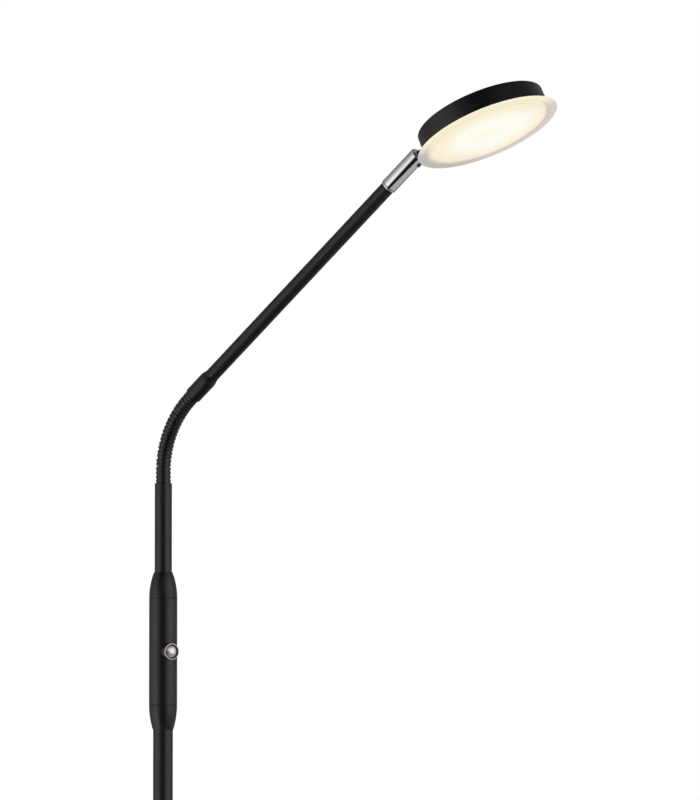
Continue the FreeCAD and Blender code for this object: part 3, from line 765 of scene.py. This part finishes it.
def grip_tube():
    """The grip's sleeve, with its ends broken for the seams and the button's hole."""
    inner = grip_radius - GRIP_WALL
    room = BEZEL_RADIUS * SLEEVE_ROOM_SHARE
    outline = [(inner, sleeve_low), (grip_radius - EDGE, sleeve_low)]
    outline += [(grip_radius, sleeve_low + EDGE), (grip_radius, button_height - room)]
    outline += [(grip_radius, button_height + room), (grip_radius, sleeve_high - EDGE)]
    outline += [(grip_radius - EDGE, sleeve_high), (inner, sleeve_high)]
    sleeve = turned("grip_tube", outline, POLE, steps=SLEEVE_STEPS)
    carve(sleeve, cutter_cylinder(BEZEL_RADIUS + FIT, 0, grip_radius * CUTTER_REACH_SHARE, BUTTON))
    return finish_piece(sleeve, POLE_BLACK, "black_paint", "pole", "grip_sleeve")


BUTTON = axis_frame(Vector((0, 0, button_height)), BUTTON_WAY)
bezel_face = grip_radius + BUTTON_STAND
button_radius = BEZEL_RADIUS - BEZEL_WALL - BUTTON_GAP


def button_surround():
    """The button's collar, in silver darkened as painted shade, sunk inside its bright lip."""
    inner = BEZEL_RADIUS - BEZEL_WALL
    lip = BEZEL_RADIUS - BEZEL_LIP
    seat = bezel_face - BEZEL_THICK
    outline = [(inner, BEZEL_BACK), (BEZEL_RADIUS, BEZEL_BACK), (BEZEL_RADIUS, seat), (lip, seat)]
    outline += [(inner + EDGE, seat - EDGE * 2), (inner, seat - EDGE * 3)]
    collar = turned("button_collar", outline, BUTTON, steps=BUTTON_STEPS)
    finish_piece(collar, PAINTED_SHADE_SILVER, "chrome", "pole", "button_ring")
    round_size = EDGE * 2
    side, top = (BEZEL_RADIUS, bezel_face - round_size), (BEZEL_RADIUS - round_size, bezel_face)
    outline = [(lip, seat), (BEZEL_RADIUS, seat), side] + arc(side, top, round_size, steps=5)
    outline += [top, (lip + EDGE, bezel_face), (lip, bezel_face - EDGE)]
    bezel = turned("button_bezel", outline, BUTTON, steps=BUTTON_STEPS)
    finish_piece(bezel, SATIN_SILVER, "chrome", "pole", "button_ring")


def button_dome():
    """The push button: a stem, a skirt and a shallow dome."""
    rim = bezel_face - BUTTON_SUNK
    seat = rim - BUTTON_SKIRT
    outline = [(0, seat - BUTTON_STEM), (STEM_RADIUS, seat - BUTTON_STEM), (STEM_RADIUS, seat)]
    start, end = (button_radius, rim - BUTTON_DROP), (0, rim + BUTTON_RISE)
    outline += [(button_radius, seat), start]
    rise = BUTTON_RISE + BUTTON_DROP
    crown = (button_radius**2 + rise**2) / (2 * rise)
    outline += arc(start, end, crown, steps=12) + [end]
    dome = turned("button_dome", outline, BUTTON, steps=BUTTON_STEPS)
    finish_piece(dome, PEARL_SILVER, "satin_button", "button", "push_button")


def stem_tube():
    """The tube above the grip, with a rounded mouth.

    The cutter for the set screw's hole lies outside the tube, so the hole isn't cut.
    """
    low = TUBE_BOX[0].z
    inner = tube_radius - TUBE_WALL
    side, top = (tube_radius, mouth - EDGE * 3), (tube_radius - EDGE * 2, mouth)
    outline = [(inner, low), (tube_radius, low), side] + arc(side, top, EDGE * 3, steps=6)
    outline += [top, (inner, mouth)]
    tube = turned("stem_tube", outline, POLE)
    screw_reach = tube_radius * CUTTER_REACH_SHARE
    carve(tube, cutter_cylinder(SCREW_RADIUS + FIT, SCREW_IN, screw_reach, SCREW))
    return finish_piece(tube, POLE_BLACK, "black_paint", "pole", "upper_tube")


def set_screw():
    """The small screw below the tube's mouth. The key lies past its head, so its socket isn't cut."""
    outline = [(0, SCREW_IN), (SCREW_RADIUS, SCREW_IN), (SCREW_RADIUS, SCREW_OUT - EDGE)]
    outline += [(SCREW_RADIUS - EDGE, SCREW_OUT), (0, SCREW_OUT)]
    screw = turned("neck_set_screw", outline, SCREW, steps=SCREW_STEPS)
    deselect()
    bpy.ops.mesh.primitive_cylinder_add(
        vertices=6, radius=SCREW_RADIUS / 2, depth=KEY_DEPTH, location=(0, 0, SCREW_OUT)
    )
    key = bpy.context.object
    put(key, SCREW @ key.matrix_world)
    carve(screw, key)
    return finish_piece(screw, DARK_STEEL, "steel", "pole", "tube_set_screw")


SCREW = axis_frame(
    Vector((0, 0, mouth - SCREW_DROP)), (math.cos(SCREW_TURN), math.sin(SCREW_TURN), 0)
)
pole_tube()
grip_end("grip_foot", "grip_lower_cap", pole_radius, LOW_CAP_LIP, LOW_CAP_LENGTH, sleeve_low, -1)
grip_end("grip_head", "grip_upper_cap", tube_radius, TOP_CAP_LIP, TOP_CAP_LENGTH, sleeve_high, 1)
grip_tube()
button_surround()
button_dome()
stem_tube()
set_screw()

# gooseneck: one ribbed link, modelled once and copied along the neck's curve
NECK_STRAIGHT = STRAIGHT_RIBS * RIB_PITCH
BEND_RADIUS = (LINK_COUNT + 1) * LINK_RIBS * RIB_PITCH / NECK_BEND


def on_neck(distance):
    """The neck's centre line at a distance from the tube's mouth."""
    turn = min(max((distance - NECK_STRAIGHT) / BEND_RADIUS, 0), NECK_BEND)
    rest = distance - NECK_STRAIGHT - turn * BEND_RADIUS
    x = BEND_RADIUS * (1 - math.cos(turn)) + rest * math.sin(turn)
    z = mouth + NECK_STRAIGHT + BEND_RADIUS * math.sin(turn) + rest * math.cos(turn)
    return Vector((x, 0, z))


def along_neck(low, high):
    """The place of a straight stretch between two distances on the neck."""
    return axis_frame(on_neck(low), on_neck(high) - on_neck(low))


def rib(low, hollow=False):
    """The outline of one rib with rounded shoulders.

    A hollow one has a thin lip over the socket, set back so that a bend leaves room for the rib below.
    """
    high = low + RIB_PITCH - RIB_GAP
    low += LIP_SET_BACK if hollow else 0
    shoulder = RIB_RADIUS - RIB_ROUND
    lower = RIB_LIP if hollow else RIB_ROUND
    points = [] if hollow else [(ROOT_RADIUS, low)]
    points += [(RIB_RADIUS - lower, low)]
    points += arc((RIB_RADIUS - lower, low), (RIB_RADIUS, low + lower), lower, steps=5)
    points += [(RIB_RADIUS, low + lower), (RIB_RADIUS, high - RIB_ROUND)]
    points += arc((RIB_RADIUS, high - RIB_ROUND), (shoulder, high), RIB_ROUND, steps=5)
    return points + [(shoulder, high), (ROOT_RADIUS, high)]


def neck_piece(name, ribs, start, end):
    """A neck piece: its start, its ribs and its end. Its first rib is hollow if it starts in a socket."""
    outline = list(start)
    for index in range(ribs):
        outline += rib(index * RIB_PITCH, outline[-1] == SOCKET_MOUTH)
    return turned(name, outline + end, POLE, steps=RIB_STEPS)


def nose(low, reach=NOSE_REACH):
    """The outline of the nose above a piece's last rib, which sits in the next piece's socket."""
    high = low + RIB_GAP + reach
    return [(NOSE_RADIUS, low), (NOSE_RADIUS, high), (NECK_BORE, high)]


SOCKET_MOUTH = (SOCKET_RADIUS, LIP_SET_BACK)


def gooseneck():
    """The neck's foot, its nine links and its top, each with a socket over the nose of the one below."""
    nose_low = LINK_RIBS * RIB_PITCH - RIB_GAP
    cup = [(NECK_BORE, SOCKET_DEPTH), (SOCKET_RADIUS, SOCKET_DEPTH), SOCKET_MOUTH]
    link = neck_piece("neck_rib_link", LINK_RIBS, cup, nose(nose_low))
    bodies = frame["record"]["behaviour"]["bodies"]
    for number in range(1, LINK_COUNT + 1):
        low = (FOOT_RIBS + LINK_RIBS * (number - 1)) * RIB_PITCH + RIB_GAP / 2
        piece = copy_of(link, "neck_ribs_%d" % number)
        put(piece, along_neck(low, low + nose_low))
        node = "neck_link_%d" % number
        body = next(name for name, held in bodies.items() if node in held)
        finish_piece(piece, HOSE_BLACK, "black_paint", body, node)
    bpy.data.objects.remove(link)
    plug = tube_radius - TUBE_WALL - FIT
    foot_low = RIB_GAP / 2
    plug_low = -PLUG_LENGTH - foot_low
    start = [(NECK_BORE, plug_low), (plug, plug_low), (plug, -foot_low), (ROOT_RADIUS, -foot_low)]
    foot = neck_piece("neck_root", FOOT_RIBS, start, nose(FOOT_RIBS * RIB_PITCH - RIB_GAP))
    put(foot, Matrix.Translation((0, 0, mouth + foot_low)))
    finish_piece(foot, HOSE_BLACK, "black_paint", "pole", "neck_foot")
    top_low = (FOOT_RIBS + LINK_RIBS * LINK_COUNT) * RIB_PITCH + RIB_GAP / 2
    top = neck_piece("neck_crown", LINK_RIBS, cup, nose(nose_low, NOSE_REACH + RIB_PITCH))
    put(top, along_neck(top_low, top_low + nose_low))
    finish_piece(top, HOSE_BLACK, "black_paint", "arm", "neck_top")


gooseneck()

# arm
ARM = axis_frame(KNUCKLE_START - ARM_WAY * (ARM_REACH + RING_LENGTH + KNUCKLE_SEAM), ARM_WAY)


def collar_sleeve():
    """The collar where the neck meets the arm, with an S-shaped shoulder."""
    inner = ARM_RADIUS + FIT
    shoulder_start = COLLAR_LENGTH - SHOULDER_START
    shoulder_end = COLLAR_LENGTH + SHOULDER_LENGTH
    lip = ARM_RADIUS + SHOULDER_LIP
    foot, side = (COLLAR_RADIUS - EDGE * 2, 0), (COLLAR_RADIUS, EDGE * 2)
    outline = [(inner, 0), foot] + arc(foot, side, EDGE * 2, steps=4) + [side]
    for step in range(SHOULDER_STEPS + 1):
        share = step / SHOULDER_STEPS
        fall = share * share * (3 - 2 * share)
        height = shoulder_start + (shoulder_end - shoulder_start) * share
        outline.append((COLLAR_RADIUS + (lip - COLLAR_RADIUS) * fall, height))
    outline.append((inner, shoulder_end))
    collar = turned("collar_sleeve", outline, ARM)
    return finish_piece(collar, SATIN_BLACK, "black_paint", "arm", "arm_collar")


def arm_rod():
    inner = ARM_RADIUS - ARM_WALL
    outline = [(inner, 0), (ARM_RADIUS, 0), (ARM_RADIUS, ARM_REACH), (inner, ARM_REACH)]
    rod = turned("arm_rod", outline, ARM)
    return finish_piece(rod, SATIN_BLACK, "black_paint", "arm", "arm_tube")


def chrome_ring():
    bore = SPINDLE_RADIUS + FIT
    outline = [(bore, ARM_REACH), (KNUCKLE_RADIUS, ARM_REACH)]
    outline += [(KNUCKLE_RADIUS, ARM_REACH + RING_LENGTH), (bore, ARM_REACH + RING_LENGTH)]
    ring = soften(turned("chrome_ring", outline, ARM), EDGE)
    return finish_piece(ring, CHROME, "chrome", "arm", "knuckle_ring")


def chrome_barrel():
    """The knuckle's barrel, with a rounded end.

    The slot's cutter is placed and scaled twice, so it lies past the end and the slot isn't cut.
    """
    bore = SPINDLE_RADIUS + FIT
    slot_low = KNUCKLE_LENGTH - PIN_BACK - SLOT_BACK
    side = (KNUCKLE_RADIUS, KNUCKLE_LENGTH - KNUCKLE_ROUND)
    end = (KNUCKLE_RADIUS - KNUCKLE_ROUND, KNUCKLE_LENGTH)
    outline = [(0, slot_low), (KNUCKLE_WELL, slot_low), (KNUCKLE_WELL, KNUCKLE_LAND)]
    outline += [(bore, KNUCKLE_LAND), (bore, 0), (KNUCKLE_RADIUS - EDGE, 0), (KNUCKLE_RADIUS, EDGE)]
    outline += [side] + arc(side, end, KNUCKLE_ROUND) + [end, (0, KNUCKLE_LENGTH)]
    barrel = turned("chrome_barrel", outline, BARREL)
    deselect()
    bpy.ops.mesh.primitive_cube_add(size=1, location=(0, 0, 0))
    slot = bpy.context.object
    slot.scale = (KNUCKLE_RADIUS * SLOT_SPAN_SHARE, SLOT_WIDTH, KNUCKLE_LENGTH)
    slot.location = (0, 0, slot_low + KNUCKLE_LENGTH / 2)
    bpy.context.view_layer.update()
    put(slot, BARREL @ slot.matrix_world)
    carve(barrel, slot)
    carve(barrel, cutter_cylinder(PIN_RADIUS + FIT, -PIN_HALF - FIT, PIN_HALF + FIT, PIN_PLACE))
    return finish_piece(barrel, CHROME, "chrome", "knuckle", "knuckle")


def pin_rod():
    outline = [(0, -PIN_HALF), (PIN_RADIUS - EDGE, -PIN_HALF), (PIN_RADIUS, EDGE - PIN_HALF)]
    outline += [(PIN_RADIUS, PIN_HALF - EDGE), (PIN_RADIUS - EDGE, PIN_HALF), (0, PIN_HALF)]
    pin = turned("hinge_rod", outline, PIN_PLACE, steps=SMALL_STEPS)
    return finish_piece(pin, STEEL, "steel", "knuckle", "hinge_pin")


PIN_PLACE = axis_frame(PIN, (0, 1, 0))
collar_sleeve()
arm_rod()
chrome_ring()
chrome_barrel()
pin_rod()


# head
def drum_shell():
    """The head's shallow drum, with a soft edge round its back."""
    inner, back = DRUM_RADIUS - DRUM_WALL, DRUM_RADIUS - DRUM_TAPER
    side, top = (back, HEAD_THICK - DRUM_EDGE), (back - DRUM_EDGE, HEAD_THICK)
    outline = [(0, HEAD_THICK - DRUM_BACK), (inner, HEAD_THICK - DRUM_BACK), (inner, GLASS_THICK)]
    outline += [(DRUM_RADIUS, GLASS_THICK), side] + arc(side, top, DRUM_EDGE, steps=6)
    outline += [top, (0, HEAD_THICK)]
    drum = turned("drum_shell", outline, HEAD, steps=WIDE_STEPS)
    return finish_piece(drum, SATIN_BLACK, "black_paint", "head", "drum_housing")


def opal_glass():
    """The opal plate: a flat face, a shallow step to a finely edged flange, and a seat in the drum."""
    lip = GLASS_RADIUS - LIP_WIDTH
    seat = DRUM_RADIUS - DRUM_WALL - FIT
    rim = LIP_DEPTH / 2
    outline = [(0, 0), (lip, 0), (lip, rim), (GLASS_RADIUS - rim, rim), (GLASS_RADIUS, LIP_DEPTH)]
    outline += [(DRUM_RADIUS + FLANGE_BACK, GLASS_THICK), (seat, GLASS_THICK)]
    outline += [(seat, GLASS_SEAT), (0, GLASS_SEAT)]
    glass = turned("opal_glass", outline, HEAD, steps=WIDE_STEPS)
    return finish_piece(glass, LIT_OPAL, "opal", "head", "diffuser")


def hinge_tongue():
    """The head's tongue: its solid's own shape with its edges broken."""
    tongue = copy_of(nodes["head_tongue"], "hinge_tongue")
    bpy.ops.object.mode_set(mode="EDIT")
    bpy.ops.mesh.select_all(action="SELECT")
    bpy.ops.mesh.remove_doubles(threshold=COPY_MERGE_GAP)
    bpy.ops.mesh.dissolve_limited(angle_limit=FLAT_ANGLE)
    bpy.ops.object.mode_set(mode="OBJECT")
    soften(tongue, TONGUE_EDGE)
    return finish_piece(tongue, SATIN_BLACK, "black_paint", "head", "head_tongue")


drum_shell()
opal_glass()
hinge_tongue()


# floor, light and camera
FLOOR_RADIUS = 6
FLOOR_COLOUR = (0.8, 0.8, 0.8, 1)
SHADOW_END = 0.5
WHITE_START = 1.6
# what glossy surfaces see in the floor: dark near the base, then a grey ring, then the room's light
GLOSS_DARK = 0.07
GLOSS_GREY = 0.44
GLOSS_RING = (0.68, 0.8)
FLOOR_GLOSS_RADIUS = 1.04


def pale_floor():
    """A pale floor that keeps the lamp's shadow near its base and fades to plain white."""
    deselect()
    bpy.ops.mesh.primitive_circle_add(
        vertices=ROUND_STEPS, radius=FLOOR_RADIUS, fill_type="NGON", location=(0, 0, 0)
    )
    floor = bpy.context.object
    floor.name = "pale_floor"
    material = bpy.data.materials.new("pale_floor")
    material.use_nodes = True
    tree = material.node_tree
    n, link = tree.nodes, tree.links.new
    n.clear()
    out = n.new("ShaderNodeOutputMaterial")
    place = n.new("ShaderNodeTexCoord")
    reach = n.new("ShaderNodeVectorMath")
    reach.operation = "LENGTH"
    link(place.outputs["Object"], reach.inputs[0])
    far = n.new("ShaderNodeMapRange")
    far.interpolation_type = "SMOOTHSTEP"
    far.inputs["From Min"].default_value = SHADOW_END
    far.inputs["From Max"].default_value = WHITE_START
    link(reach.outputs["Value"], far.inputs["Value"])
    matt = n.new("ShaderNodeBsdfDiffuse")
    matt.inputs["Color"].default_value = FLOOR_COLOUR
    white = n.new("ShaderNodeEmission")
    fade = n.new("ShaderNodeMixShader")
    link(far.outputs["Result"], fade.inputs["Fac"])
    link(matt.outputs["BSDF"], fade.inputs[1])
    link(white.outputs["Emission"], fade.inputs[2])
    path = n.new("ShaderNodeLightPath")
    near = n.new("ShaderNodeMath")
    near.operation = "LESS_THAN"
    near.inputs[1].default_value = FLOOR_GLOSS_RADIUS
    link(reach.outputs["Value"], near.inputs[0])
    ring = n.new("ShaderNodeMapRange")
    ring.interpolation_type = "SMOOTHSTEP"
    ring.inputs["From Min"].default_value = GLOSS_RING[0]
    ring.inputs["From Max"].default_value = GLOSS_RING[1]
    ring.inputs["To Min"].default_value = GLOSS_DARK
    ring.inputs["To Max"].default_value = GLOSS_GREY
    link(reach.outputs["Value"], ring.inputs["Value"])
    grey = n.new("ShaderNodeEmission")
    link(ring.outputs["Result"], grey.inputs["Strength"])
    clear = n.new("ShaderNodeBsdfTransparent")
    gloss = n.new("ShaderNodeMixShader")
    link(near.outputs["Value"], gloss.inputs["Fac"])
    link(clear.outputs["BSDF"], gloss.inputs[1])
    link(grey.outputs["Emission"], gloss.inputs[2])
    last = n.new("ShaderNodeMixShader")
    link(path.outputs["Is Glossy Ray"], last.inputs["Fac"])
    link(fade.outputs["Shader"], last.inputs[1])
    link(gloss.outputs["Shader"], last.inputs[2])
    link(last.outputs["Shader"], out.inputs["Surface"])
    floor.data.materials.append(material)
    return floor


pale_floor()

VIEW_TURN = 0.577

# what glossy surfaces see round the lamp: degrees from the photo's side, and brightness
LEVEL_LIGHT = [
    (-180, 0.02), (-155, 0.2), (-140, 0.2), (-112, 0.33), (-85, 0.74), (-74, 0.9), (-54, 0.94),
    (-32, 0.44), (-25, 0.18), (-18, 0.03), (15, 0.01), (24, 0.08), (32, 0.42), (45, 0.95),
    (60, 1.04), (74, 1.05), (85, 0.8), (99, 0.45), (130, 0.28), (145, 0.12), (160, 0.02), (180, 0.02),
]
UPPER_LIGHT = [
    (-180, 0.1), (-136, 0.25), (-112, 0.27), (-80, 0.49), (-70, 0.5), (-47, 0.2), (-29, 0.03),
    (-9, 0.01), (12, 0.2), (30, 0.9), (85, 0.9), (105, 0.2), (140, 0.32), (165, 0.3), (180, 0.1),
]
HIGH_LIGHT = [
    (-180, 0.1), (-90, 0.3), (-60, 0.3), (-29, 0.02), (-9, 0.01), (12, 0.05), (37, 0.13),
    (63, 0.14), (89, 0.1), (112, 0.1), (150, 0.3), (180, 0.1),
]
LOWER_LIGHT = [
    (-180, 0.5), (-168, 0.6), (-155, 0.2), (-140, 0.1), (-100, 0.6), (-60, 1.0), (-46, 1.6),
    (-39, 0.6), (-36, 0.13), (-31, 0.01), (15, 0.01), (45, 0.13), (87, 0.14), (105, 0.42),
    (135, 0.42), (150, 0.2), (165, 0.1), (180, 0.5),
]
# each band of light, and the heights between which it takes over: 0 is level, 1 straight up
LIGHT_BANDS = (
    (LEVEL_LIGHT, 0, 0),
    (UPPER_LIGHT, 0, 0.35),
    (HIGH_LIGHT, 0.4, 0.62),
    (LOWER_LIGHT, -0.1, -0.45),
)
FILL_LIGHT = 0.55


def studio_world():
    """White behind the lamp, soft fill, and the bands of light that glossy surfaces see."""
    world = bpy.data.worlds.new("studio")
    bpy.context.scene.world = world
    world.use_nodes = True
    tree = world.node_tree
    n, link = tree.nodes, tree.links.new
    n.clear()
    out = n.new("ShaderNodeOutputWorld")
    place = n.new("ShaderNodeTexCoord")
    right = (math.cos(VIEW_TURN), math.sin(VIEW_TURN), 0)
    towards = (math.sin(VIEW_TURN), -math.cos(VIEW_TURN), 0)
    across = n.new("ShaderNodeVectorMath")
    across.operation = "DOT_PRODUCT"
    across.inputs[1].default_value = right
    along = n.new("ShaderNodeVectorMath")
    along.operation = "DOT_PRODUCT"
    along.inputs[1].default_value = towards
    link(place.outputs["Generated"], across.inputs[0])
    link(place.outputs["Generated"], along.inputs[0])
    turn = n.new("ShaderNodeMath")
    turn.operation = "ARCTAN2"
    link(across.outputs["Value"], turn.inputs[0])
    link(along.outputs["Value"], turn.inputs[1])
    share = n.new("ShaderNodeMapRange")
    share.inputs["From Min"].default_value = -math.pi
    share.inputs["From Max"].default_value = math.pi
    link(turn.outputs["Value"], share.inputs["Value"])
    height = n.new("ShaderNodeSeparateXYZ")
    link(place.outputs["Generated"], height.inputs["Vector"])
    seen = None
    for stops, low, high in LIGHT_BANDS:
        around = ramp(tree, [((degrees + 180) / 360, (level,) * 3) for degrees, level in stops])
        link(share.outputs["Result"], around.inputs["Fac"])
        if seen is None:
            seen = around.outputs["Color"]
            continue
        lift = n.new("ShaderNodeMapRange")
        lift.interpolation_type = "SMOOTHSTEP"
        lift.inputs["From Min"].default_value = low
        lift.inputs["From Max"].default_value = high
        link(height.outputs["Z"], lift.inputs["Value"])
        mix = n.new("ShaderNodeMix")
        mix.data_type = "RGBA"
        link(lift.outputs["Result"], mix.inputs["Factor"])
        link(seen, mix.inputs["A"])
        link(around.outputs["Color"], mix.inputs["B"])
        seen = mix.outputs["Result"]
    shine = n.new("ShaderNodeBackground")
    link(seen, shine.inputs["Color"])
    fill = n.new("ShaderNodeBackground")
    fill.inputs["Color"].default_value = (1, 1, 1, 1)
    fill.inputs["Strength"].default_value = FILL_LIGHT
    white = n.new("ShaderNodeBackground")
    white.inputs["Color"].default_value = (1, 1, 1, 1)
    path = n.new("ShaderNodeLightPath")
    first = n.new("ShaderNodeMixShader")
    link(path.outputs["Is Glossy Ray"], first.inputs["Fac"])
    link(fill.outputs["Background"], first.inputs[1])
    link(shine.outputs["Background"], first.inputs[2])
    second = n.new("ShaderNodeMixShader")
    link(path.outputs["Is Camera Ray"], second.inputs["Fac"])
    link(first.outputs["Shader"], second.inputs[1])
    link(white.outputs["Background"], second.inputs[2])
    link(second.outputs["Shader"], out.inputs["Surface"])


studio_world()


LAMP_MIDDLE = Vector((0.1, 0, 0.9))


def softbox(name, place, size, watts):
    """A large soft light that faces the lamp's middle and stays out of its reflections."""
    deselect()
    bpy.ops.object.light_add(type="AREA", location=place)
    light = bpy.context.object
    light.name = name
    light.data.size = size
    light.data.energy = watts
    light.visible_glossy = False
    light.rotation_euler = (LAMP_MIDDLE - Vector(place)).to_track_quat("-Z", "Y").to_euler()


softbox("left_softbox", place=(-1.6, -2.0, 1.9), size=1.4, watts=32)
softbox("right_softbox", place=(2.6, -0.6, 1.6), size=1.2, watts=22)
softbox("top_softbox", place=(0.2, 0.3, 3.0), size=1.6, watts=22)

scene = bpy.context.scene
scene.view_settings.view_transform = "Standard"

FRAME_WIDTH_PX = 700
FOCAL_PX = 3784
SENSOR_WIDTH = 36
CAMERA_PLACE = (2.2211, -3.0693, 0.9390)
CAMERA_RISE = 0.04508
CAMERA_ROLL = 0.0007
CAMERA_TURN = VIEW_TURN + 0.00016
VIEW_DEPTH = 100
camera_data = bpy.data.cameras.new("photo_camera")
camera_data.sensor_fit = "HORIZONTAL"
camera_data.sensor_width = SENSOR_WIDTH
camera_data.lens = FOCAL_PX / FRAME_WIDTH_PX * SENSOR_WIDTH
camera_data.clip_end = VIEW_DEPTH
camera = bpy.data.objects.new("photo_camera", camera_data)
scene.collection.objects.link(camera)
camera.location = CAMERA_PLACE
camera.rotation_euler = (math.pi / 2 + CAMERA_RISE, CAMERA_ROLL, CAMERA_TURN)
scene.camera = camera
